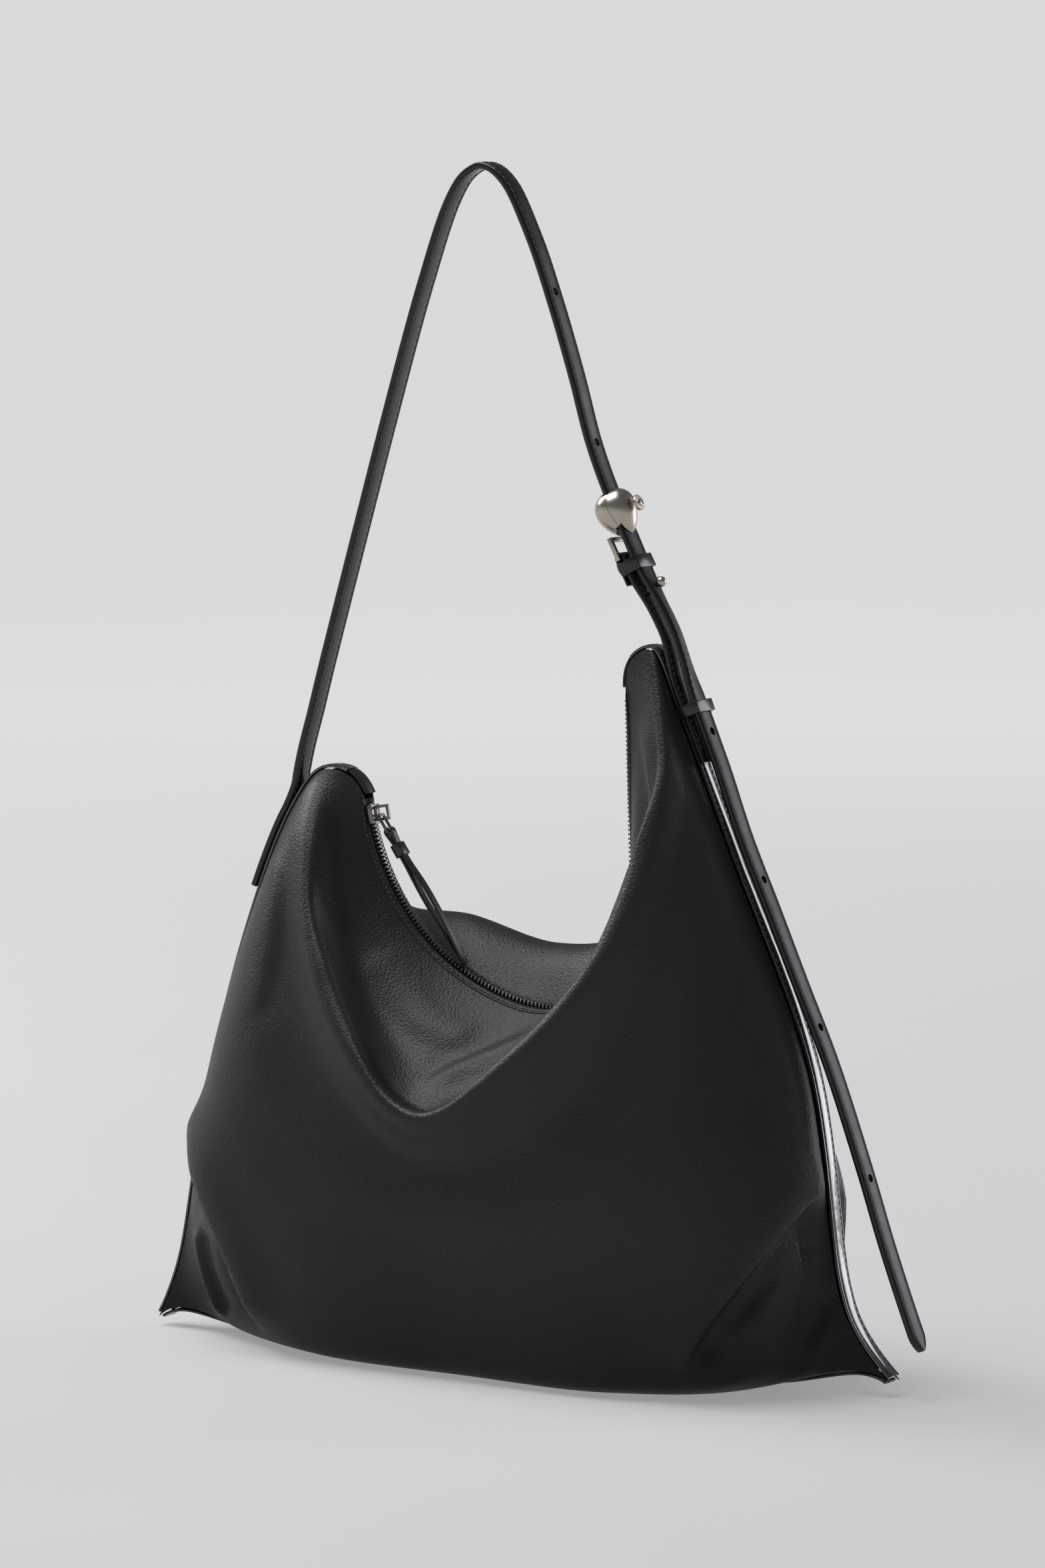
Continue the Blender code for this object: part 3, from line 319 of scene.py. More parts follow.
def polished_calf():
    """Brushed-off calf leather: nearly patent, so it mirrors the studio softly, with a faint waviness."""
    made, tree, shader, place = new_finish("polished_calf", "#121113", 0.2, ior=1.5, coat_weight=0.12,
                                           coat_roughness=0.08)
    cloud = add_node(tree, "ShaderNodeTexNoise", {"Scale": 60.0, "Detail": 4.0}, {"Vector": place})
    rub = add_node(tree, "ShaderNodeMapRange", {"To Min": 0.16, "To Max": 0.30},
                   {"Value": cloud.outputs["Fac"]})
    tree.links.new(rub.outputs["Result"], shader.inputs["Roughness"])
    tone = add_node(tree, "ShaderNodeMix", {"A": linear("#0e0d0f"), "B": linear("#151416")},
                    {"Factor": cloud.outputs["Fac"]}, data_type="RGBA")
    tree.links.new(tone.outputs["Result"], shader.inputs["Base Color"])
    pore = add_node(tree, "ShaderNodeTexNoise", {"Scale": 1400.0, "Detail": 2.0}, {"Vector": place})
    fine = add_node(tree, "ShaderNodeBump", {"Strength": 0.10, "Distance": 0.0002},
                    {"Height": pore.outputs["Fac"]})
    wave = add_node(tree, "ShaderNodeBump", {"Strength": 0.12, "Distance": 0.002},
                    {"Height": cloud.outputs["Fac"], "Normal": fine.outputs["Normal"]})
    tree.links.new(wave.outputs["Normal"], shader.inputs["Normal"])
    return made


def waxed_calf():
    """The straps' outer side: dense black calf with a waxed, satin surface and fine pores."""
    made, tree, shader, place = new_finish("waxed_calf", "#131214", 0.36, specular_ior_level=0.34)
    cloud = add_node(tree, "ShaderNodeTexNoise", {"Scale": 80.0, "Detail": 4.0}, {"Vector": place})
    rub = add_node(tree, "ShaderNodeMapRange", {"To Min": 0.30, "To Max": 0.46},
                   {"Value": cloud.outputs["Fac"]})
    tree.links.new(rub.outputs["Result"], shader.inputs["Roughness"])
    # Real pores are 0.2 mm wide; they are drawn 0.9 mm wide so that they show.
    pore = add_node(tree, "ShaderNodeTexVoronoi", {"Scale": 1100.0}, {"Vector": place})
    fine = add_node(tree, "ShaderNodeBump", {"Strength": 0.25, "Distance": 0.0002},
                    {"Height": pore.outputs["Distance"]}, invert=True)
    wave = add_node(tree, "ShaderNodeBump", {"Strength": 0.15, "Distance": 0.002},
                    {"Height": cloud.outputs["Fac"], "Normal": fine.outputs["Normal"]})
    tree.links.new(wave.outputs["Normal"], shader.inputs["Normal"])
    return made


def patent_strip():
    """The seam strips' leather: lacquered, so it mirrors the studio in a bright band, barely uneven."""
    made, tree, shader, place = new_finish("patent_strip", "#19181b", 0.16, ior=1.55, coat_weight=1.0,
                                           coat_roughness=0.06, coat_ior=1.6)
    cloud = add_node(tree, "ShaderNodeTexNoise", {"Scale": 45.0, "Detail": 3.0}, {"Vector": place})
    rub = add_node(tree, "ShaderNodeMapRange", {"To Min": 0.12, "To Max": 0.24},
                   {"Value": cloud.outputs["Fac"]})
    tree.links.new(rub.outputs["Result"], shader.inputs["Roughness"])
    wave = add_node(tree, "ShaderNodeBump", {"Strength": 0.15, "Distance": 0.002},
                    {"Height": cloud.outputs["Fac"]})
    tree.links.new(wave.outputs["Normal"], shader.inputs["Normal"])
    tree.links.new(wave.outputs["Normal"], shader.inputs["Coat Normal"])
    return made


def edge_paint():
    """Layers of black edge paint, sanded round: smooth and glossy, with slight unevenness."""
    made, tree, shader, place = new_finish("edge_paint", "#121113", 0.24, ior=1.48)
    ripple = add_node(tree, "ShaderNodeTexNoise", {"Scale": 320.0, "Detail": 2.0}, {"Vector": place})
    bump = add_node(tree, "ShaderNodeBump", {"Strength": 0.2, "Distance": 0.0003},
                    {"Height": ripple.outputs["Fac"]})
    tree.links.new(bump.outputs["Normal"], shader.inputs["Normal"])
    return made


def waxed_thread():
    """Black polyester thread: two twisted plies, a dull shine."""
    made, tree, shader, place = new_finish("waxed_thread", "#434246", 0.45, ior=1.5)
    # Real plies repeat every 0.5 mm; they are drawn every 1 mm so that they show.
    twist = add_node(tree, "ShaderNodeTexWave", {"Scale": 320.0, "Distortion": 1.5}, {"Vector": place},
                     bands_direction="DIAGONAL")
    bump = add_node(tree, "ShaderNodeBump", {"Strength": 0.5, "Distance": 0.0002},
                    {"Height": twist.outputs["Fac"]})
    tree.links.new(bump.outputs["Normal"], shader.inputs["Normal"])
    return made


def twill_lining():
    """Cotton twill: matte, with fine diagonal ribs."""
    made, tree, shader, place = new_finish("twill_lining", "#2e2c2a", 0.9, ior=1.45)
    rib = add_node(tree, "ShaderNodeTexWave", {"Scale": 300.0, "Distortion": 0.4}, {"Vector": place},
                   bands_direction="DIAGONAL")
    bump = add_node(tree, "ShaderNodeBump", {"Strength": 0.5, "Distance": 0.0002},
                    {"Height": rib.outputs["Fac"]})
    tree.links.new(bump.outputs["Normal"], shader.inputs["Normal"])
    return made


def zip_tape_weave():
    """Woven polyester zip tape: dull black with a herringbone rib."""
    made, tree, shader, place = new_finish("zip_tape_weave", "#19181a", 0.85, ior=1.45)
    rib = add_node(tree, "ShaderNodeTexWave", {"Scale": 420.0, "Distortion": 0.8}, {"Vector": place},
                   bands_direction="DIAGONAL")
    bump = add_node(tree, "ShaderNodeBump", {"Strength": 0.6, "Distance": 0.0002},
                    {"Height": rib.outputs["Fac"]})
    tree.links.new(bump.outputs["Normal"], shader.inputs["Normal"])
    return made


def plated_metal(name, colour, roughness, worn):
    """Plated zinc, tumbled to a satin: fine scratches in all directions and slightly polished high spots."""
    made, tree, shader, place = new_finish(name, colour, roughness, metallic=1.0)
    cloud = add_node(tree, "ShaderNodeTexNoise", {"Scale": 160.0, "Detail": 4.0}, {"Vector": place})
    rub = add_node(tree, "ShaderNodeMapRange", {"To Min": roughness - worn, "To Max": roughness + worn},
                   {"Value": cloud.outputs["Fac"]})
    tree.links.new(rub.outputs["Result"], shader.inputs["Roughness"])
    grit = add_node(tree, "ShaderNodeTexNoise", {"Scale": 2600.0, "Detail": 2.0}, {"Vector": place})
    bump = add_node(tree, "ShaderNodeBump", {"Strength": 0.12, "Distance": 0.0001},
                    {"Height": grit.outputs["Fac"]})
    tree.links.new(bump.outputs["Normal"], shader.inputs["Normal"])
    return made


def studio_paper():
    """Seamless studio paper: pale cool grey and matte, with a glow that grows away from the lit middle."""
    made, tree, shader, place = new_finish("studio_paper", "#959597", 0.9, emission_color=linear("#ffffff"))
    fleck = add_node(tree, "ShaderNodeTexNoise", {"Scale": 2.0, "Detail": 2.0}, {"Vector": place})
    tone = add_node(tree, "ShaderNodeMix", {"A": linear("#929294"), "B": linear("#98989a")},
                    {"Factor": fleck.outputs["Fac"]}, data_type="RGBA")
    tree.links.new(tone.outputs["Result"], shader.inputs["Base Color"])
    reach = add_node(tree, "ShaderNodeVectorMath", links={0: place}, operation="LENGTH").outputs["Value"]
    glow = add_node(tree, "ShaderNodeMapRange", {"From Min": 0.2, "From Max": 4.6, "To Min": GLOW_NEAR,
                                                 "To Max": GLOW_FAR}, {"Value": reach},
                    interpolation_type="SMOOTHSTEP")
    tree.links.new(glow.outputs["Result"], shader.inputs["Emission Strength"])
    return made


FINISHES = {
    "nappa": nappa_leather(),
    "calf": polished_calf(),
    "waxed": waxed_calf(),
    "patent": patent_strip(),
    "edge": edge_paint(),
    "thread": waxed_thread(),
    "twill": twill_lining(),
    "tape": zip_tape_weave(),
    "nickel": plated_metal("satin_nickel_plate", "#b5ada2", 0.30, 0.05),
    "gunmetal": plated_metal("dark_nickel_zip_plate", "#7b7876", 0.28, 0.06),
    "paper": studio_paper(),
}


# ---------------------------------------------------------------- lines


def smooth(points, per):
    """Cubic curve through points along axis 0, with `per` samples to each stretch of it."""
    points = np.asarray(points, float)
    step = np.maximum(np.linalg.norm(np.diff(points, axis=0), axis=-1), 1e-6) ** 0.5
    step = step[..., None]
    slope = np.diff(points, axis=0) / step
    tangent = np.empty_like(points)
    tangent[1:-1] = (slope[1:] * step[:-1] + slope[:-1] * step[1:]) / (step[1:] + step[:-1])
    tangent[0] = 2 * slope[0] - tangent[1]
    tangent[-1] = 2 * slope[-1] - tangent[-2]
    out = []
    for i in range(len(points) - 1):
        for s in np.arange(per) / per:
            out.append(
                (2 * s**3 - 3 * s**2 + 1) * points[i]
                + (s**3 - 2 * s**2 + s) * step[i] * tangent[i]
                + (3 * s**2 - 2 * s**3) * points[i + 1]
                + (s**3 - s**2) * step[i] * tangent[i + 1]
            )
    out.append(points[-1])
    return np.array(out)


def lengths(line):
    return np.concatenate([[0.0], np.cumsum(np.linalg.norm(np.diff(line, axis=0), axis=1))])


def at_length(line, where):
    along = lengths(line)
    return np.stack([np.interp(where, along, line[:, k]) for k in range(line.shape[1])], axis=-1)


def cut(line, start, end, spacing):
    count = max(2, int(round((end - start) / spacing)) + 1)
    return at_length(line, np.linspace(start, end, count))


def nearest(line, point):
    fine = cut(line, 0.0, lengths(line)[-1], 0.5)
    return lengths(fine)[np.argmin(np.linalg.norm(fine - np.asarray(point), axis=1))]


def tangents(line):
    step = np.gradient(line, axis=0)
    return step / np.linalg.norm(step, axis=1)[:, None]


def offset(line, distance):
    """A line moved sideways in the X-Z plane; positive is to its left, as seen from the front."""
    t = tangents(line)
    return line + distance * np.stack([-t[:, 1], t[:, 0]], axis=1)


def frame_at(line, where):
    """Point, direction and left-hand normal of a line at a distance along it, as 3-D vectors."""
    here = at_length(line, np.array([where - 0.5, where, where + 0.5]))
    t = tangents(here)[1]
    return np.array([here[1][0], 0.0, here[1][1]]), np.array([t[0], 0.0, t[1]]), np.array([-t[1], 0.0, t[0]])


def arc(centre, radius, start, end, count):
    angle = np.linspace(start, end, count)
    return np.stack([centre[0] + radius * np.cos(angle), centre[1] + radius * np.sin(angle)], axis=1)


def zip_line():
    centre = np.array(ZIP_CENTRE)
    start = np.array(ZIP_LEFT) - centre
    radius = float(np.linalg.norm(start))
    turn = centre + radius * np.array([math.cos(ZIP_TURN), math.sin(ZIP_TURN)])
    inward = (centre - turn) / radius
    tight = (ZIP_RIGHT_X - turn[0]) / (1 + inward[0])
    tight_centre = turn + tight * inward
    return np.concatenate([
        arc(centre, radius, math.atan2(start[1], start[0]) % (2 * math.pi), ZIP_TURN, 120),
        arc(tight_centre, tight, ZIP_TURN, 2 * math.pi, 60)[1:],
        np.linspace((ZIP_RIGHT_X, tight_centre[1]), ZIP_RIGHT, 60)[1:],
    ])


def seam(side):
    return smooth(LEFT_SEAM if side < 0 else RIGHT_SEAM, 16)


# ---------------------------------------------------------------- meshes


def new_piece(name, vertices, faces, finishes, indices=None, smooth_angle=35.0):
    """A mesh piece from points in millimetres; indices give each face's finish."""
    mesh = bpy.data.meshes.new(name)
    mesh.from_pydata((np.asarray(vertices, float) * MM).tolist(), [], faces)
    mesh.update()
    made = bpy.data.objects.new(name, mesh)
    bpy.context.scene.collection.objects.link(made)
    for key in finishes:
        mesh.materials.append(FINISHES[key])
    if indices is not None:
        mesh.polygons.foreach_set("material_index", indices)
    settle(made, smooth_angle)
    return made


def pick(made):
    bpy.ops.object.select_all(action="DESELECT")
    made.select_set(True)
    bpy.context.view_layer.objects.active = made


def settle(made, smooth_angle=35.0):
    """Turns a closed piece's faces outwards and shades it."""
    pick(made)
    bpy.ops.object.mode_set(mode="EDIT")
    bpy.ops.mesh.select_all(action="SELECT")
    bpy.ops.mesh.normals_make_consistent(inside=False)
    bpy.ops.object.mode_set(mode="OBJECT")
    bpy.ops.object.shade_smooth_by_angle(angle=math.radians(smooth_angle))


def place_piece(made, body, *nodes):
    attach(made, body)
    if nodes:
        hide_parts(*nodes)
    return made


def sheet_between(name, outer, inner, finish):
    """A closed skin between two grids of the same size."""
    rows, columns = outer.shape[:2]
    half = rows * columns
    faces = []
    for r in range(rows - 1):
        for c in range(columns - 1):
            a = r * columns + c
            faces.append((a, a + 1, a + columns + 1, a + columns))
            faces.append((half + a, half + a + columns, half + a + columns + 1, half + a + 1))
    rim = [r * columns for r in range(rows)]
    rim += [(rows - 1) * columns + c for c in range(1, columns)]
    rim += [r * columns + columns - 1 for r in range(rows - 2, -1, -1)]
    rim += list(range(columns - 2, 0, -1))
    for a, b in zip(rim, rim[1:] + rim[:1]):
        faces.append((a, b, half + b, half + a))
    vertices = np.concatenate([outer.reshape(-1, 3), inner.reshape(-1, 3)])
    return new_piece(name, vertices, faces, [finish], smooth_angle=60.0)


def sweep(name, line, profile, finishes, kinds=None, widths=None, twists=None):
    """A closed profile of (across, up) points swept along a line, scaled by widths and turned by twists.

    kinds picks the finish of each side of the profile.
    """
    side = offset(line, 1.0) - line
    count = len(profile)
    vertices = []
    for i, (c, n) in enumerate(zip(line, side)):
        wide = 1.0 if widths is None else widths[i]
        turn = 0.0 if twists is None else twists[i]
        for a, b in profile:
            across = a * wide * math.cos(turn) - b * math.sin(turn)
            up = a * wide * math.sin(turn) + b * math.cos(turn)
            vertices.append((c[0] + n[0] * up, across, c[1] + n[1] * up))
    faces, indices = [], []
    for i in range(len(line) - 1):
        for k in range(count):
            a, b = i * count + k, i * count + (k + 1) % count
            faces.append((a, b, b + count, a + count))
            indices.append(kinds[k] if kinds else 0)
    last = (len(line) - 1) * count
    faces += [tuple(range(count - 1, -1, -1)), tuple(range(last, last + count))]
    indices += [0, 0]
    return new_piece(name, vertices, faces, finishes, indices)


def strap_profile(width, thickness, dome=0.25, groove=0.28, inset=2.1):
    """Cross-section of a stitched strap: round painted edges, a groove under each stitch row, a crown."""
    half, t = width / 2, thickness / 2
    top = [
        (half, 0.0), (half - 0.12, t * 0.55), (half - 0.5, t * 0.9), (half - 1.0, t + 0.08), (half - 1.5, t),
        (half - inset, t - groove), (half - inset - 0.7, t), (half * 0.3, t + dome * 0.8), (0.0, t + dome),
    ]
    upper = top + [(-a, n) for a, n in top[-2::-1]]
    return upper + [(a, -n) for a, n in upper[-2:0:-1]]


def flat_profile(width, thickness, edge, chamfer=0.4):
    """Cross-section of a plain band with chamfered edges; edge is the share of its thickness left square."""
    half, t = width / 2, thickness / 2
    upper = [(half, t * edge), (half - chamfer, t), (-half + chamfer, t), (-half, t * edge)]
    return [(half, -t * edge)] + upper + [(-half, -t * edge), (-half + chamfer, -t), (half - chamfer, -t)]


# Painted edges, then the outer side, painted edges again, and the inner side.
STRAP_KINDS = [1, 1] + [2] * 12 + [1] * 4 + [0] * 12 + [1, 1]
STRAP_FINISHES = ["calf", "edge", "waxed"]


def stitch_row(line, across, up, pitch=STITCH_PITCH, margin=3.0, twists=None):
    """Stitch middles, directions and normals along a line in the X-Z plane."""
    along_line = lengths(line)
    count = int((along_line[-1] - 2 * margin) / pitch)
    out = []
    for k in range(count):
        where = margin + (k + 0.5) * pitch
        at, along, normal = frame_at(line, where)
        turn = 0.0 if twists is None else float(np.interp(where, along_line, twists))
        side = ALONG_Y * math.cos(turn) + normal * math.sin(turn)
        normal = normal * math.cos(turn) - ALONG_Y * math.sin(turn)
        out.append((at + normal * up + side * across, along, normal * (1 if up > 0 else -1)))
    return out


def add_stitches(name, rows, body, pitch=STITCH_PITCH, thick=THREAD):
    """Thread stitches as small sunk capsules, all in one piece."""
    sides, rings = 6, ((-0.5, 0.35), (-0.38, 0.85), (0.0, 1.0), (0.38, 0.85), (0.5, 0.35))
    length = pitch * STITCH_SHARE
    vertices, faces = [], []
    for at, along, normal in rows:
        across = np.cross(along, normal)
        start = len(vertices)
        for where, fat in rings:
            sink = -thick * 0.5 * (abs(where) * 2) ** 3
            for k in range(sides):
                a = 2 * math.pi * k / sides
                vertices.append(at + along * where * length + across * thick / 2 * fat * math.cos(a)
                                + normal * (thick / 2 * fat * math.sin(a) + sink))
        for r in range(len(rings) - 1):
            for k in range(sides):
                a, b = start + r * sides + k, start + r * sides + (k + 1) % sides
                faces.append((a, b, b + sides, a + sides))
        faces.append(tuple(range(start + sides - 1, start - 1, -1)))
        last = start + (len(rings) - 1) * sides
        faces.append(tuple(range(last, last + sides)))
    made = new_piece(name, vertices, faces, ["thread"], smooth_angle=80.0)
    if body:
        place_piece(made, body)
    return made


# ---------------------------------------------------------------- the soft body

PER_ACROSS, PER_DOWN = 24, 24


def fold_height(points, folds):
    """Height that pulled folds add at points x, z: a crest with a gentle side and a steep side."""
    total = np.zeros(len(points))
    for course, crest, drop, gentle, tight, steep in folds:
        line = smooth(course, 6)
        whole = lengths(line)[-1]
        step = np.diff(line, axis=0)
        size = np.linalg.norm(step, axis=1)
        rel = points[:, None, :] - line[None, :-1, :]
        raw = (rel * step).sum(axis=2) / size ** 2
        part = np.clip(raw, 0.0, 1.0)
        best = np.argmin(((rel - part[..., None] * step) ** 2).sum(axis=2), axis=1)
        row = np.arange(len(points))
        t = step[best] / size[best][:, None]
        near = rel[row, best]
        across = steep * (near[:, 1] * t[:, 0] - near[:, 0] * t[:, 1])
        past = np.abs(raw[row, best] - part[row, best]) * size[best]
        where = (lengths(line)[best] + part[row, best] * size[best]) / whole
        fade = np.clip(np.minimum(where, 1.0 - where) * 6.0, 0.0, 1.0)
        fade = fade * fade * (3 - 2 * fade) * np.exp(-(past / 6.0) ** 2)
        fall = np.clip(across / tight, 0.0, 1.0)
        fall = fall * fall * (3 - 2 * fall)
        far = np.where(across < 0, -across, np.maximum(across - tight, 0.0))
        total += (crest - (crest + drop) * fall) * np.exp(-(far / gentle) ** 2) * fade
    return total


def panel_grid(guides, folds, side):
    edge = STRIP_WIDTH / 2 + GAP
    zip_row = at_length(zip_line(), np.array(ZIP_SHARES) * lengths(zip_line())[-1])
    rows = [[(x, side * ZIP_RIM, z) for x, z in zip_row]]
    for seam_left, seam_right, guide in zip(LEFT_SEAM[1:], RIGHT_SEAM[1:], guides):
        row = [(*seam_left, edge)] + [(x, z, max(edge, depth)) for x, depth,
                                      z in guide] + [(*seam_right, edge)]
        rows.append([(x, side * depth, z) for x, z, depth in row])
    across = smooth(np.swapaxes(np.array(rows), 0, 1), PER_ACROSS)
    grid = smooth(np.swapaxes(across, 0, 1), PER_DOWN)
    room = np.clip((np.abs(grid[..., 1]) - edge) / 20.0, 0.0, 1.0)
    pulled = fold_height(grid[..., ::2].reshape(-1, 2), folds).reshape(grid.shape[:2]) * room
    grid = grid + grid_normal(grid, side) * pulled[..., None]
    grid[..., 1] = side * np.maximum(side * grid[..., 1], edge * 0.9)
    grid[0, :, 1] = side * ZIP_RIM
    grid[..., 2] = np.maximum(grid[..., 2], 0.0)
    return grid


def grid_normal(grid, side):
    normal = np.cross(np.gradient(grid, axis=1), np.gradient(grid, axis=0)) * side
    return normal / np.maximum(np.linalg.norm(normal, axis=-1), 1e-9)[..., None]


def inset(grid, distance, side):
    """The grid moved towards the inside of the bag by a distance."""
    moved = grid - grid_normal(grid, side) * distance
    edge = np.full((len(grid), 1), GAP)
    edge[0] = ZIP_RIM
    moved[..., 1] = side * np.maximum(side * moved[..., 1], edge)
    return moved


def hem_line(grid, normal, down, lift):
    """Points at a distance down every column of a panel from its zip edge, lifted off its surface."""
    out = []
    for c in range(grid.shape[1]):
        column = grid[:14, c]
        at = at_length(column, max(down, 0.0)) + (column[1] - column[0]) * min(down, 0.0)
        out.append(at + normal[3, c] * lift)
    return np.array(out)


def build_hem(name, grid, side):
    """The panel's edge turned over and stitched along the zip."""
    normal = grid_normal(grid, side)
    keep = slice(2, -2)
    rings = [hem_line(grid, normal, down, lift)[keep] for down, lift in (
        (4.4, -0.4), (4.2, 0.2), (3.6, 0.5), (2.9, 0.6), (2.3, 0.3), (1.7, 0.65), (0.7, 0.65), (-0.1, 0.4),
        (-0.35, -0.2), (-0.1, -1.0), (0.6, -1.5))]
    vertices = np.concatenate(rings)
    across, count = len(rings[0]), len(rings)
    faces = []
    for r in range(count):
        for c in range(across - 1):
            a, b = r * across + c, (r + 1) % count * across + c
            faces.append((a, a + 1, b + 1, b))
    faces.append(tuple(r * across for r in range(count)))
    faces.append(tuple(r * across + across - 1 for r in range(count - 1, -1, -1)))
    place_piece(new_piece(name + "_zip_hem", vertices, faces, ["nappa"], smooth_angle=50.0), "bag")
    groove = hem_line(grid, normal, HEM_STITCH_DOWN, 0.5)[keep]
    rows = []
    run = lengths(groove)[-1]
    for k in range(int((run - 8.0) / HEM_PITCH)):
        where = 4.0 + (k + 0.5) * HEM_PITCH
        here = at_length(groove, np.array([where - 0.6, where, where + 0.6]))
        along = (here[2] - here[0]) / np.linalg.norm(here[2] - here[0])
        column = int(np.clip(np.searchsorted(lengths(groove), where), 0, across - 1))
        up = normal[3, column + 2]
        up = up - along * (up @ along)
        rows.append((here[1], along, up / np.linalg.norm(up)))
    add_stitches(name + "_zip_hem_stitching", rows, "bag", HEM_PITCH)


def build_body():
    for name, guides, folds, side in (("front", FRONT_GUIDES, FRONT_FOLDS, -1),
                                      ("back", BACK_GUIDES, BACK_FOLDS, 1)):
        grid = panel_grid(guides, folds, side)
        skin = sheet_between(name + "_leather_panel", grid, inset(grid, SKIN, side), "nappa")
        place_piece(skin, "bag", name + "_panel")
        build_hem(name, grid, side)
        coarse = grid[::3, ::3]
        lining = (slice(12, -5), slice(5, -5))
        cloth = sheet_between(name + "_twill_lining", inset(coarse, LINING_DEPTH, side)[lining],
                              inset(coarse, LINING_DEPTH + LINING, side)[lining], "twill")
        place_piece(cloth, "bag", name + "_lining")
        if side > 0:
            patch = (slice(28, 52), slice(22, 44))
            pocket = sheet_between("slip_pocket", inset(coarse, POCKET_DEPTH, side)[patch],
                                   inset(coarse, POCKET_DEPTH + POCKET_CLOTH, side)[patch], "twill")
            place_piece(pocket, "bag", "inner_pocket")


def strip_profile():
    half, t = STRIP_WIDTH / 2, STRIP_THICKNESS / 2
    top = [(half, 0.0), (half - 0.1, t * 0.7), (half - 0.5, t), (half - 1.2, t + 0.1), (half - 1.8, t - 0.2),
           (half - 2.4, t + 0.05), (half * 0.4, t + 0.3), (0.0, t + 0.35)]
    upper = top + [(-a, n) for a, n in top[-2::-1]]
    lower = [(-half + 0.1, -t * 0.7), (-half + 0.5, -t), (half - 0.5, -t), (half - 0.1, -t * 0.7)]
    return upper + lower


def build_strips():
    for label, side in (("left", -1), ("right", 1)):
        line = offset(seam(side), side * (STRIP_THICKNESS / 2 + STRIP_SEAT))
        along = lengths(line)
        start, total = along[16] + 0.6, along[-1]
        # Sweep profiles point to the left of the line, which is inwards on the left seam.
        profile = [(a, n * side) for a, n in strip_profile()]
        strip = sweep(label + "_gusset_strip", cut(line, start, total - 2.0, STEP), profile, ["patent"])
        place_piece(strip, "bag", label + "_side_strip")
        run = cut(line, start, total - 2.0, STEP)
        rows = []
        for y in (-1, 1):
            rows += stitch_row(run, y * (STRIP_WIDTH / 2 - 1.8), side * (STRIP_THICKNESS / 2 - 0.05))
        add_stitches(label + "_gusset_stitching", rows, "bag")
        end = cut(line, GAP, start - 0.9, 1.0)
        beak = sweep(label + "_zip_beak", end, [(a * 0.82, n) for a, n in profile], ["nappa"])
        place_piece(beak, "bag", "zip_end_" + label)
    corners = [(x, z) for x, _, z in FRONT_GUIDES[-1]]
    line = smooth([LEFT_SEAM[-1], *corners, RIGHT_SEAM[-1]], 12)
    line = offset(cut(line, 2.0, lengths(line)[-1] - 2.0, 3.0), -STRIP_THICKNESS / 2 - STRIP_SEAT)
    line[:, 1] = np.maximum(line[:, 1], STRIP_THICKNESS / 2)
    base = sweep("base_strip", line, flat_profile(STRIP_WIDTH, STRIP_THICKNESS, 0.5), ["calf"])
    place_piece(base, "bag", "bottom_strip")


# ---------------------------------------------------------------- the strap


def strap_line():
    return smooth(STRAP_POINTS, 12)


def hinge_crossing(line):
    a, b = np.array(HINGE_LEFT), np.array(HINGE_RIGHT)
    d = (b - a) / np.linalg.norm(b - a)
    fine = cut(line, 0.0, lengths(line)[-1], 0.5)
    height = (fine - a) @ np.array([-d[1], d[0]])
    late = np.arange(len(fine)) > len(fine) // 3
    return lengths(fine)[np.argmin(np.where(late, np.abs(height), 1e9))]


def cut_holes(made, line, places):
    """Punches round holes through a strap."""
    for where in places:
        at, _, out = frame_at(line, where)
        bpy.ops.object.select_all(action="DESELECT")
        bpy.ops.mesh.primitive_cylinder_add(
            vertices=24, radius=HOLE_RADIUS * MM, depth=4 * STRAP_THICKNESS * MM, location=at * MM,
            rotation=Vector(out).to_track_quat("Z", "Y").to_euler())
        hollow(made, bpy.context.object)
    pick(made)
    bpy.ops.object.shade_smooth_by_angle(angle=math.radians(35.0))


HINGE_UP = np.array([HINGE_LEFT[1] - HINGE_RIGHT[1], HINGE_RIGHT[0] - HINGE_LEFT[0]])
HINGE_UP = HINGE_UP / np.linalg.norm(HINGE_UP)


def blend_at_hinge(made, nodes=()):
    """Bakes a strap's placement into its mesh and hides the model's parts that it stands for."""
    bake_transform(made)
    if nodes:
        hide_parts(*nodes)


def ramp(line, line_marks):
    """Twist along a line, in radians: line_marks pairs distances along it with degrees."""
    where, degrees = zip(*line_marks)
    part = lengths(line)
    fine = np.interp(part, where, np.radians(degrees))
    kernel = np.hanning(9) / np.hanning(9).sum()
    return np.convolve(np.pad(fine, 4, mode="edge"), kernel, mode="valid")


def stitched(name, line, width, thickness, body, blended=False, twists=None, inset=2.1):
    """Two rows of stitches on the faces of a strap."""
    rows = []
    for y in (-1, 1):
        for face in (-1, 1):
            rows += stitch_row(line, y * (width / 2 - inset), face * (thickness / 2 - 0.05), twists=twists)
    made = add_stitches(name, rows, None if blended else body)
    if blended:
        blend_at_hinge(made)
    return made


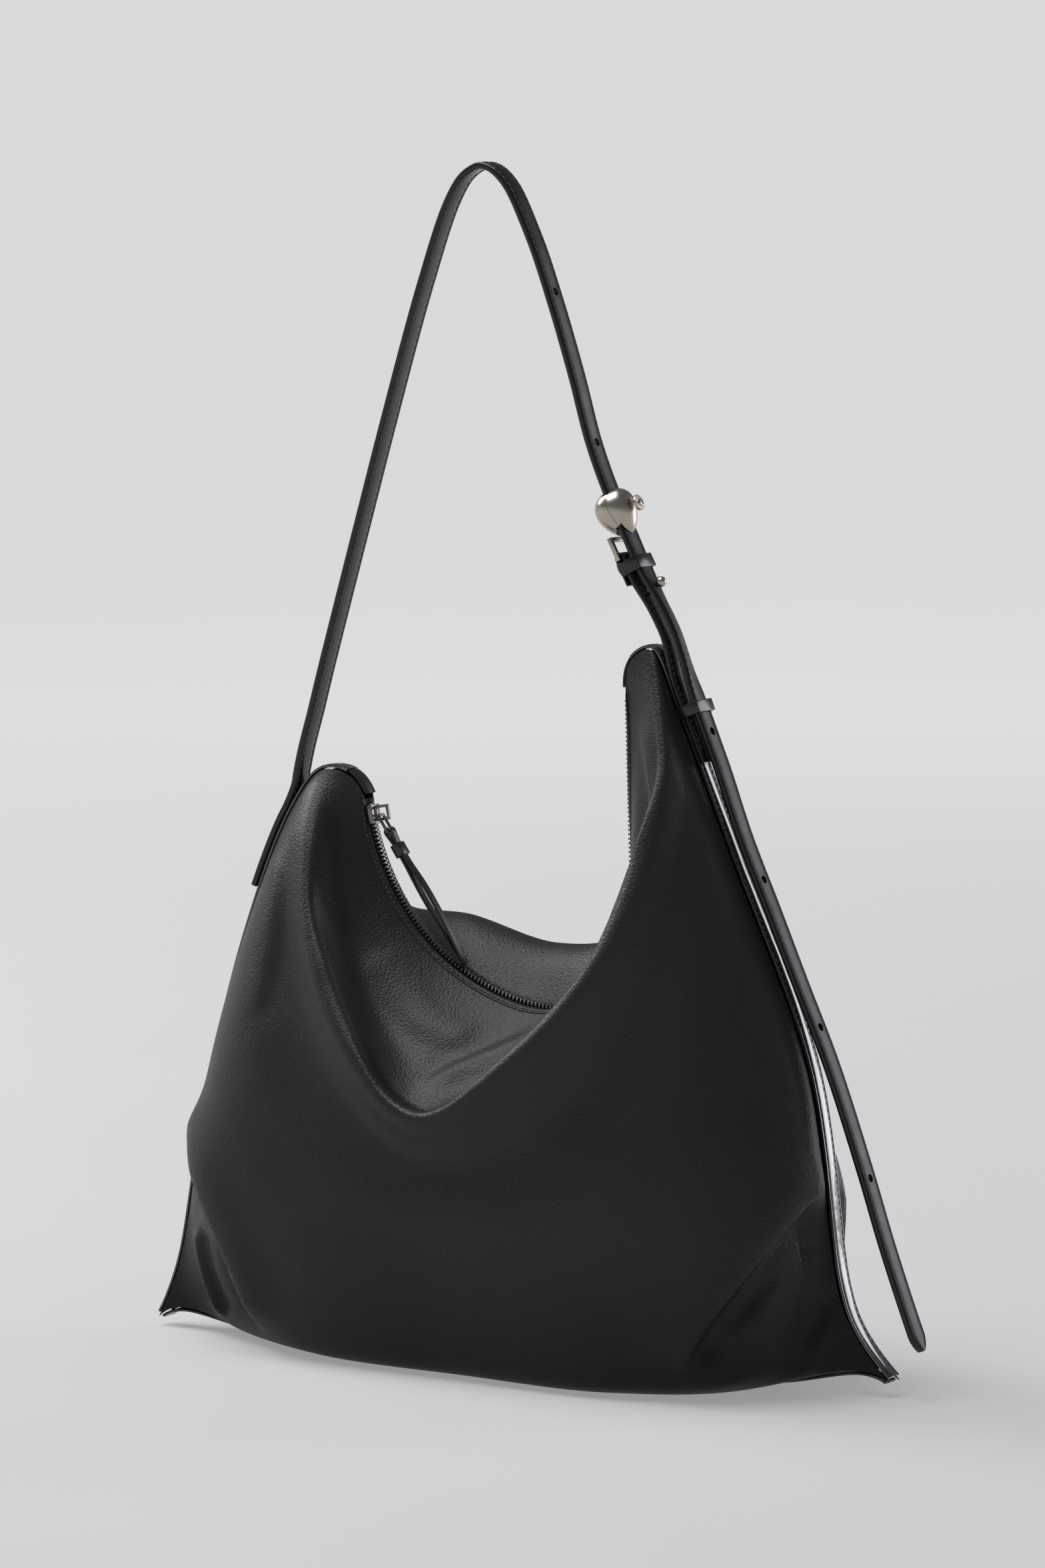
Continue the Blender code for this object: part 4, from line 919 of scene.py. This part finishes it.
def build_strap():
    line = strap_line()
    stud_at = nearest(line, STUD_POINT)
    hinge_at = hinge_crossing(line)
    keeper_at = hinge_at + KEEPER_BELOW_HINGE
    keeper_end = keeper_at + LOWER_KEEPER_HEIGHT / 2
    total = lengths(line)[-1]
    holes = [stud_at + k * HOLE_SPACING for k in (-2, -1, 1, 2, 3, 4)]
    profile = strap_profile(STRAP_WIDTH, STRAP_THICKNESS)

    stand_off = STRIP_THICKNESS + STRIP_SEAT + GAP + STRAP_THICKNESS / 2
    left = offset(seam(-1), -stand_off)
    foot = nearest(left, HINGE_LEFT)
    tab = cut(left, foot + 3.0, foot + HINGE_CLEARANCE + TAB_LENGTH, STEP)[::-1]
    joined = np.concatenate([tab, cut(line, 5.0, keeper_at + 1.0, STEP)])
    joined = smooth(joined[::3], 3)
    shift = nearest(joined, STUD_POINT) - stud_at
    stud, hinge, keeper = stud_at + shift, hinge_at + shift, keeper_at + shift
    twists = ramp(joined, [(stud - 12, 0), (stud + 8, STRAP_TWIST), (hinge + 6, STRAP_TWIST),
                           (keeper - 6, -3)])
    arch = sweep("shoulder_strap", joined, profile, STRAP_FINISHES, STRAP_KINDS, twists=twists)
    cut_holes(arch, line, [h for h in holes if h < keeper_at])
    blend_at_hinge(arch, ["long_strap", "left_strap_tab", "strap_in_keeper"])
    stitched("shoulder_strap_stitching", joined, STRAP_WIDTH, STRAP_THICKNESS, None, True, twists)

    tail_line = cut(line, keeper_at + 1.4, total, STEP)
    tip = lengths(tail_line)[-1]
    taper = np.clip((tip - lengths(tail_line)) / 8.0, 0.0, 1.0) ** 0.6 * 0.9 + 0.1
    tail = sweep("strap_tail_end", tail_line, profile, STRAP_FINISHES, STRAP_KINDS, widths=taper)
    cut_holes(tail, line, [h for h in holes if h > keeper_end + 6.0])
    seam_line = cut(tail_line, 0.0, tip - 9.0, STEP)
    stitched("strap_tail_stitching", seam_line, STRAP_WIDTH, STRAP_THICKNESS, "tail")
    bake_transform(tail)
    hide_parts("strap_tail")
    build_buckle(line, stud_at, stand_off)
    build_lower_keeper(line, keeper_at, stand_off)


def build_buckle(line, stud_at, stand_off):
    bead_at, along, out = frame_at(line, stud_at - BEAD_ABOVE_STUD)
    ring_centre = bead_at + along * RING_BELOW_BEAD - out * RING_OFFSET
    bar = ring_centre + along * (RING_LENGTH / 2 - RING_BAR / 2)

    # The billet: from the sewn tab on the strip, over the peak's side, up to its fold round the ring's bar.
    inner = offset(line, -BILLET_OFFSET)
    right = offset(seam(1), stand_off)
    foot = nearest(right, HINGE_RIGHT)
    fold_start = nearest(inner, (bar + along * 3.0)[::2])
    top = cut(inner, fold_start, hinge_crossing(inner) - 6.0, STEP)
    tab = cut(right, foot + 6.0, foot + HINGE_CLEARANCE + TAB_LENGTH, STEP)
    joined = smooth(np.concatenate([top, tab])[::3], 3)
    profile = strap_profile(STRAP_WIDTH, BILLET_THICKNESS)
    hinge = nearest(joined, HINGE_RIGHT)
    twists = ramp(joined, [(12, 0), (26, BILLET_TWIST), (hinge - 12, BILLET_TWIST), (hinge + 6, 0)])
    billet = sweep("buckle_billet", joined, profile, STRAP_FINISHES, STRAP_KINDS, twists=twists)
    blend_at_hinge(billet, ["billet_strap", "right_strap_tab"])
    stitched("buckle_billet_stitching", joined, STRAP_WIDTH, BILLET_THICKNESS, None, True, twists)

    # The fold: a thinner ply that wraps the bar and lies on the billet's inner side.
    reach = RING_BAR / 2 + GAP + 0.9
    middle = bar[::2]
    d, n = along[::2], out[::2]
    angles = np.radians(np.arange(70, -111, -12))
    turn = np.array([middle + reach * (-d * math.cos(a) + n * math.sin(a)) for a in angles])
    below = (2, 4, 6, 9, 12, 15)
    down = np.array([turn[-1] + d * k - n * 0.9 * math.sin(min(k / 9.0, 1.0) * math.pi) for k in below])
    start = np.array([turn[0] + d * k for k in (4.0, 2.0)])
    ply = smooth(np.concatenate([start, turn, down]), 2)
    fold = sweep("buckle_billet_fold", ply, strap_profile(STRAP_WIDTH, FOLD_PLY, dome=0.1, groove=0.12),
                 STRAP_FINISHES, STRAP_KINDS)
    place_piece(fold, "strap")

    ring = rect_band("square_ring", "nickel", RING_WIDTH, RING_LENGTH, RING_BAR, RING_BAR, corner=0.7,
                     edge=0.28, at=ring_centre, u=ALONG_Y, v=along)
    place_piece(ring, "strap", "buckle_ring")
    keeper_mid = stud_at - BEAD_ABOVE_STUD + RING_BELOW_BEAD + RING_LENGTH / 2 + UPPER_KEEPER_HEIGHT / 2 + 1.0
    at, k_along, k_out = frame_at(line, keeper_mid)
    deep = BILLET_OFFSET + STRAP_THICKNESS + 0.4
    keeper = rect_band("upper_keeper_loop", "calf", STRAP_WIDTH + UPPER_KEEPER_PLAY + 2 * KEEPER_WALL,
                       deep + 2 * KEEPER_WALL, KEEPER_WALL, UPPER_KEEPER_HEIGHT, corner=KEEPER_CORNER,
                       edge=0.45, at=at - k_out * BILLET_OFFSET / 2, u=ALONG_Y, v=k_out)
    place_piece(keeper, "strap", "upper_keeper")
    build_bead(bead_at, along, out)

    at, _, s_out = frame_at(line, stud_at)
    face = -BILLET_OFFSET + BILLET_THICKNESS / 2
    ball = STRAP_THICKNESS / 2 + 0.6
    profile = [(face, STUD_BALL), (face + 0.25, STUD_BASE), (face + 0.8, STUD_BASE), (face + 1.1, STUD_BALL),
               (face + 1.3, STUD_NECK + 0.1), (ball, STUD_NECK), (ball + 0.5, STUD_NECK + 0.3)]
    for k in range(2, 12):
        a = math.pi * (1 - k / 12)
        profile.append((ball + STUD_BALL * (1 + math.cos(a)), STUD_BALL * math.sin(a)))
    profile.append((ball + 2 * STUD_BALL, 0.12))
    stud = lathe("ball_stud_knob", "nickel", profile, at, s_out)
    place_piece(stud, "strap", "ball_stud")


def bead_ring(angle):
    """Height, half width, half depth and lift of the bead at an angle from its upper end."""
    y = -math.cos(angle)
    ring = max(math.sin(angle), 0.02)
    fat = (1 - 0.26 * y) * ring
    return -y * BEAD_LENGTH / 2, fat * BEAD_WIDTH / 2, fat * BEAD_DEPTH / 2, BEAD_LIFT * ring


def build_bead(at, along, out):
    """The two-part pebble bead, fuller at its upper end, with a slot for the strap and a plain boss."""
    for name, side, node in (("bead_back_shell", -1, "bead_inner_half"),
                             ("bead_front_shell", 1, "bead_outer_half")):
        bpy.ops.object.select_all(action="DESELECT")
        bpy.ops.mesh.primitive_circle_add(vertices=64, radius=1.0 * MM, fill_type="NGON",
                                          location=(0, 0, BEAD_LENGTH / 2 * MM))
        shell = bpy.context.object
        bpy.ops.object.transform_apply(location=True, rotation=False, scale=False)
        bpy.ops.object.mode_set(mode="EDIT")
        bpy.ops.mesh.select_all(action="SELECT")
        # The rings are extruded down Z, from the bead's upper end; X is across the strap.
        rings = [bead_ring(math.pi * k / BEAD_RINGS) for k in range(BEAD_RINGS + 1)]
        bpy.ops.transform.resize(value=(rings[0][1], rings[0][2], 1.0),
                                 center_override=(0, 0, rings[0][0] * MM))
        bpy.ops.transform.translate(value=(0, rings[0][3] * MM, 0))
        for (z0, x0, y0, lift0), (z1, x1, y1, lift1) in zip(rings, rings[1:]):
            step = (0, (lift1 - lift0) * MM, (z1 - z0) * MM)
            bpy.ops.mesh.extrude_region_move(TRANSFORM_OT_translate={"value": step})
            bpy.ops.transform.resize(value=(x1 / x0, y1 / y0, 1.0), center_override=(0, lift1 * MM, z1 * MM))
        bpy.ops.mesh.select_all(action="SELECT")
        bpy.ops.mesh.normals_make_consistent(inside=False)
        # The bead is laid along Y, which then runs down the strap. With no window, it turns the other way.
        bpy.ops.transform.rotate(value=-math.pi / 2, orient_axis="X", center_override=(0, 0, 0))
        bpy.ops.mesh.bisect(plane_co=(0, 0, side * 0.12 * MM), plane_no=(0, 0, side), use_fill=True,
                            clear_inner=True)
        bpy.ops.object.mode_set(mode="OBJECT")
        hollow(shell, add_block(STRAP_WIDTH + SLOT_PLAY, 3 * BEAD_LENGTH, STRAP_THICKNESS + SLOT_PLAY))
        finish_piece(shell, name, "nickel", at, ALONG_Y, along, edge=0.35, limit=40.0)
        place_piece(shell, "strap", node)
    top = at + out * (BEAD_DEPTH / 2 + BEAD_LIFT)
    profile = [(-0.6, 4.5), (0.9, 4.6), (1.3, 4.35), (1.35, 3.5), (0.95, 3.2), (0.95, 2.3), (1.5, 2.0),
               (1.95, 1.2), (2.1, 0.15)]
    place_piece(lathe("bead_cap_boss", "nickel", profile, top, out), "strap", "bead_boss")


def build_lower_keeper(line, keeper_at, stand_off):
    at, along, out = frame_at(line, keeper_at)
    right = offset(seam(1), stand_off)
    tab, _, _ = frame_at(right, nearest(right, at[::2]))
    near = -float((at - tab) @ out) - STRAP_THICKNESS / 2
    far = STRAP_THICKNESS / 2 + GAP + 0.2
    middle = at + out * (near + far) / 2
    keeper = rect_band("lower_keeper_loop", "calf", STRAP_WIDTH + LOWER_KEEPER_PLAY + 2 * KEEPER_WALL,
                       far - near + 2 * KEEPER_WALL, KEEPER_WALL, LOWER_KEEPER_HEIGHT, corner=KEEPER_CORNER,
                       edge=0.45, at=middle, u=ALONG_Y, v=out)
    place_piece(keeper, "bag", "lower_keeper")


# ---------------------------------------------------------------- turned, banded and cut pieces


def add_block(x, y, z, middle=(0.0, 0.0, 0.0)):
    """A rectangular block, its sizes and middle in millimetres."""
    bpy.ops.object.select_all(action="DESELECT")
    bpy.ops.mesh.primitive_cube_add(size=1.0)
    block = bpy.context.object
    block.scale = (x * MM, y * MM, z * MM)
    block.location = Vector(middle) * MM
    bpy.ops.object.transform_apply(location=True, rotation=False, scale=True)
    return block


def select_edges(made, chosen):
    """Selects the edges that pass a test, in edit mode."""
    shape = bmesh.from_edit_mesh(made.data)
    for e in shape.edges:
        e.select_set(chosen(*[v.co / MM for v in e.verts]))
    shape.select_flush_mode()
    bmesh.update_edit_mesh(made.data)


def select_faces(made, chosen):
    """Selects the faces whose normals pass a test, in edit mode."""
    bpy.ops.mesh.select_all(action="DESELECT")
    bpy.ops.mesh.select_mode(type="FACE")
    shape = bmesh.from_edit_mesh(made.data)
    for f in shape.faces:
        f.select_set(chosen(f.normal))
    bmesh.update_edit_mesh(made.data)


def hollow(made, tool):
    """Cuts a tool out of a piece and removes the tool."""
    gouge = made.modifiers.new("gouge", "BOOLEAN")
    gouge.operation = "DIFFERENCE"
    gouge.solver = "EXACT"
    gouge.object = tool
    pick(made)
    bpy.ops.object.modifier_apply(modifier=gouge.name)
    bpy.data.objects.remove(tool, do_unlink=True)


def finish_piece(made, name, finish, at, u, v, edge=0.0, segments=3, limit=30.0):
    """Rounds the edges of a piece modelled at the origin, and places it with its X and Y along u and v."""
    made.name = name
    made.data.name = name
    if edge:
        rounding = made.modifiers.new("rounding", "BEVEL")
        rounding.width = edge * MM
        rounding.segments = segments
        rounding.angle_limit = math.radians(limit)
        pick(made)
        bpy.ops.object.modifier_apply(modifier=rounding.name)
    w = np.cross(u, v)
    made.matrix_world = Matrix([[u[k], v[k], w[k], at[k] * MM] for k in range(3)] + [[0.0, 0.0, 0.0, 1.0]])
    pick(made)
    bpy.ops.object.transform_apply(location=True, rotation=True, scale=True)
    made.data.materials.clear()
    made.data.materials.append(FINISHES[finish])
    bpy.ops.object.shade_smooth_by_angle(angle=math.radians(40.0))
    return made


def lathe(name, finish, profile, at, axis, sides=32):
    """A turned piece: a disc extruded and resized along a profile of (distance along the axis, radius)."""
    bpy.ops.object.select_all(action="DESELECT")
    bpy.ops.mesh.primitive_circle_add(vertices=sides, radius=profile[0][1] * MM, fill_type="NGON",
                                      location=(0, 0, profile[0][0] * MM))
    made = bpy.context.object
    bpy.ops.object.transform_apply(location=True, rotation=False, scale=False)
    bpy.ops.object.mode_set(mode="EDIT")
    bpy.ops.mesh.select_all(action="SELECT")
    for (z0, r0), (z1, r1) in zip(profile, profile[1:]):
        bpy.ops.mesh.extrude_region_move(TRANSFORM_OT_translate={"value": (0, 0, (z1 - z0) * MM)})
        bpy.ops.transform.resize(value=(r1 / r0, r1 / r0, 1.0), center_override=(0, 0, z1 * MM))
    bpy.ops.mesh.select_all(action="SELECT")
    bpy.ops.mesh.normals_make_consistent(inside=False)
    bpy.ops.object.mode_set(mode="OBJECT")
    u = np.cross(ALONG_Y, axis)
    u = u / np.linalg.norm(u)
    return finish_piece(made, name, finish, at, u, np.cross(axis, u))


def rect_band(name, finish, size_u, size_v, wall, depth, corner, edge, at, u, v):
    """A rounded rectangular loop: a block with bevelled corners, inset at both ends and bridged through."""
    made = add_block(size_u, size_v, depth)
    bpy.ops.object.mode_set(mode="EDIT")
    select_edges(made, lambda a, b: abs(a.z - b.z) > 0.5 * depth)
    bpy.ops.mesh.bevel(offset=corner * MM, segments=5)
    select_faces(made, lambda normal: abs(normal.z) > 0.9)
    bpy.ops.mesh.inset(thickness=wall * MM, use_even_offset=True)
    bpy.ops.mesh.bridge_edge_loops()
    bpy.ops.mesh.select_all(action="SELECT")
    bpy.ops.mesh.normals_make_consistent(inside=False)
    bpy.ops.mesh.select_mode(type="VERT")
    bpy.ops.object.mode_set(mode="OBJECT")
    return finish_piece(made, name, finish, at, u, v, edge=edge)


# ---------------------------------------------------------------- the zip


def build_zip():
    line = zip_line()
    total = lengths(line)[-1]
    first, last = ZIP_END, total - ZIP_END
    for name, side in (("front", -1), ("back", 1)):
        half, t = TAPE_WIDTH / 2, 0.3
        section = ((half, -t), (half, t), (0.0, t + 0.1), (-half, t), (-half, -t))
        tape = [(side * TAPE_OFFSET + a, n) for a, n in section]
        piece = sweep(name + "_zip_tape", offset(cut(line, 2.0, total - 2.0, 3.0), -0.4), tape, ["tape"])
        place_piece(piece, "bag", "zip_tape_" + name)
        tooth_row(name, line, side, first, last)
    build_slider(line, first)


def build_tooth():
    """One chamfered tooth: X along the chain, Y out from the middle, Z up, with a narrower head and heel."""
    tooth = add_block(TOOTH_WIDTH, TOOTH_LENGTH, TOOTH_HEIGHT,
                      (0.0, TOOTH_LENGTH / 2 - TOOTH_REACH, TOOTH_HEIGHT / 2))
    bpy.ops.object.mode_set(mode="EDIT")
    select_edges(tooth, lambda a, b: a.z > 1.0 and b.z > 1.0 and abs(a.y - b.y) > 1.0)
    bpy.ops.mesh.bevel(offset=0.34 * MM, segments=1)
    for way, reach, narrow, low in ((-1, 0.35, 0.6, 0.78), (1, 0.3, 0.8, 0.85)):
        select_faces(tooth, lambda normal: normal.y * way > 0.9)
        bpy.ops.mesh.extrude_region_move(TRANSFORM_OT_translate={"value": (0, way * reach * MM, 0)})
        bpy.ops.transform.resize(value=(narrow, 1.0, low), center_override=(0, 0, 0.3 * MM))
    bpy.ops.mesh.select_mode(type="VERT")
    bpy.ops.object.mode_set(mode="OBJECT")
    return tooth


def tooth_row(name, line, side, first, last):
    """Metal teeth set at an even pitch, whose heads interlock with the other side's."""
    tooth = build_tooth()
    row = []
    where = first + (0.0 if side < 0 else TOOTH_PITCH / 2)
    while where < last:
        at, _, up = frame_at(line, where)
        out = ALONG_Y * side
        along = np.cross(out, up)
        copy = tooth.copy()
        copy.data = tooth.data.copy()
        bpy.context.scene.collection.objects.link(copy)
        place = (at + up * TOOTH_SEAT) * MM
        turned = [[along[k], out[k], up[k], place[k]] for k in range(3)]
        copy.matrix_world = Matrix(turned + [[0.0, 0.0, 0.0, 1.0]])
        row.append(copy)
        where += TOOTH_PITCH
    bpy.data.objects.remove(tooth, do_unlink=True)
    pick(row[0])
    for copy in row:
        copy.select_set(True)
    bpy.ops.object.join()
    bpy.ops.object.transform_apply(location=True, rotation=True, scale=True)
    teeth = finish_piece(row[0], name + "_zip_teeth", "gunmetal", np.zeros(3), np.array([1.0, 0.0, 0.0]),
                         ALONG_Y)
    place_piece(teeth, "bag", "zip_teeth_" + name)


def build_slider(line, first):
    at, along, up = frame_at(line, first + SLIDER_LENGTH / 2)
    height = SLIDER_CEILING + SLIDER_WALL - SLIDER_FLOOR
    body = add_block(SLIDER_LENGTH, SLIDER_WIDTH, height)
    bpy.ops.object.mode_set(mode="EDIT")
    select_edges(body, lambda a, b: abs(a.z - b.z) > 1.0 and a.x > 0)
    bpy.ops.mesh.bevel(offset=2.6 * MM, segments=4)
    bpy.ops.object.mode_set(mode="OBJECT")
    hollow(body, add_block(3 * SLIDER_LENGTH, SLIDER_CHANNEL, 2 * (SLIDER_CEILING - SLIDER_FLOOR),
                           (0.0, 0.0, -height / 2)))
    base = SLIDER_CEILING + SLIDER_WALL
    middle = at + up * (SLIDER_FLOOR + base) / 2
    finish_piece(body, "zip_slider_shell", "gunmetal", middle, -along, -ALONG_Y, edge=0.4)
    place_piece(body, "zip_slider", "slider_body")
    bail = rect_band("slider_bail", "gunmetal", BAIL_WIDTH, BAIL_HEIGHT, BAIL_WIRE, BAIL_DEPTH, corner=3.2,
                     edge=0.7, at=at + up * (base + BAIL_HEIGHT / 2 - BAIL_SEAT), u=along, v=up)
    place_piece(bail, "zip_slider", "slider_bridge")

    link_pivot = at + along * 1.2 + up * (base + GAP + PIVOT_CLEARANCE)
    tip_from = nearest(line, link_pivot[::2]) + PULL_LENGTH + 4.0 + LINK_LENGTH
    tip, _, tip_up = frame_at(line, tip_from)
    tip = tip + tip_up * 5.3
    down = (tip - link_pivot) / np.linalg.norm(tip - link_pivot)
    lift = np.cross(ALONG_Y, down)
    lift = lift * (1 if lift @ up > 0 else -1)
    ring = rect_band("pull_ring", "gunmetal", LINK_WIDTH, LINK_LENGTH, LINK_WIRE, LINK_WIRE, corner=3.2,
                     edge=0.75, at=link_pivot + down * (LINK_LENGTH / 2 - 0.8), u=ALONG_Y, v=down)
    place_piece(ring, "zip_link", "pull_link")

    # The leather pull: one strand that goes up, round the ring's bar, and back to the sewn tip.
    pivot = (link_pivot + down * PULL_BELOW_PIVOT)[::2]
    d, n = down[::2], lift[::2]
    below = [(PULL_LENGTH, -0.95), (80.0, -1.0), (60.0, -1.5), (38.0, -1.7), (22.0, -1.05), (16.0, -0.95),
             (9.0, -0.95), (4.5, -1.5)]
    above = [(4.5, 1.5), (9.0, 0.95), (16.0, 0.95), (22.0, 1.15), (38.0, 2.5), (60.0, 2.3), (80.0, 1.0),
             (PULL_LENGTH, 0.95)]
    turn = [(-PULL_EYE * math.cos(a), PULL_EYE * math.sin(a)) for a in np.radians(np.arange(-70, 71, 20))]
    path = np.array([pivot + d * a + n * b for a, b in below + turn + above])
    strand_line = smooth(path, 5)
    strand = sweep("pull_strand", strand_line, flat_profile(PULL_WIDTH, PULL_PLY, 0.4), ["calf"])
    place_piece(strand, "zip_pull", "pull_strap")
    collar = rect_band("pull_collar_loop", "calf", COLLAR_WIDTH, COLLAR_THICKNESS, COLLAR_WALL, COLLAR_LENGTH,
                       corner=1.3, edge=0.35, at=link_pivot + down * (PULL_BELOW_PIVOT + COLLAR_BELOW_EYE),
                       u=ALONG_Y, v=lift)
    place_piece(collar, "zip_pull", "pull_collar")


def build_stage():
    """A wide sheet of studio paper under the bag."""
    bpy.ops.object.select_all(action="DESELECT")
    bpy.ops.mesh.primitive_plane_add(size=PAPER_SIZE)
    paper = bpy.context.object
    paper.name = "studio_paper"
    paper.data.materials.append(FINISHES["paper"])


add_camera()
add_light()
build_stage()
build_body()
build_strips()
build_strap()
build_zip()
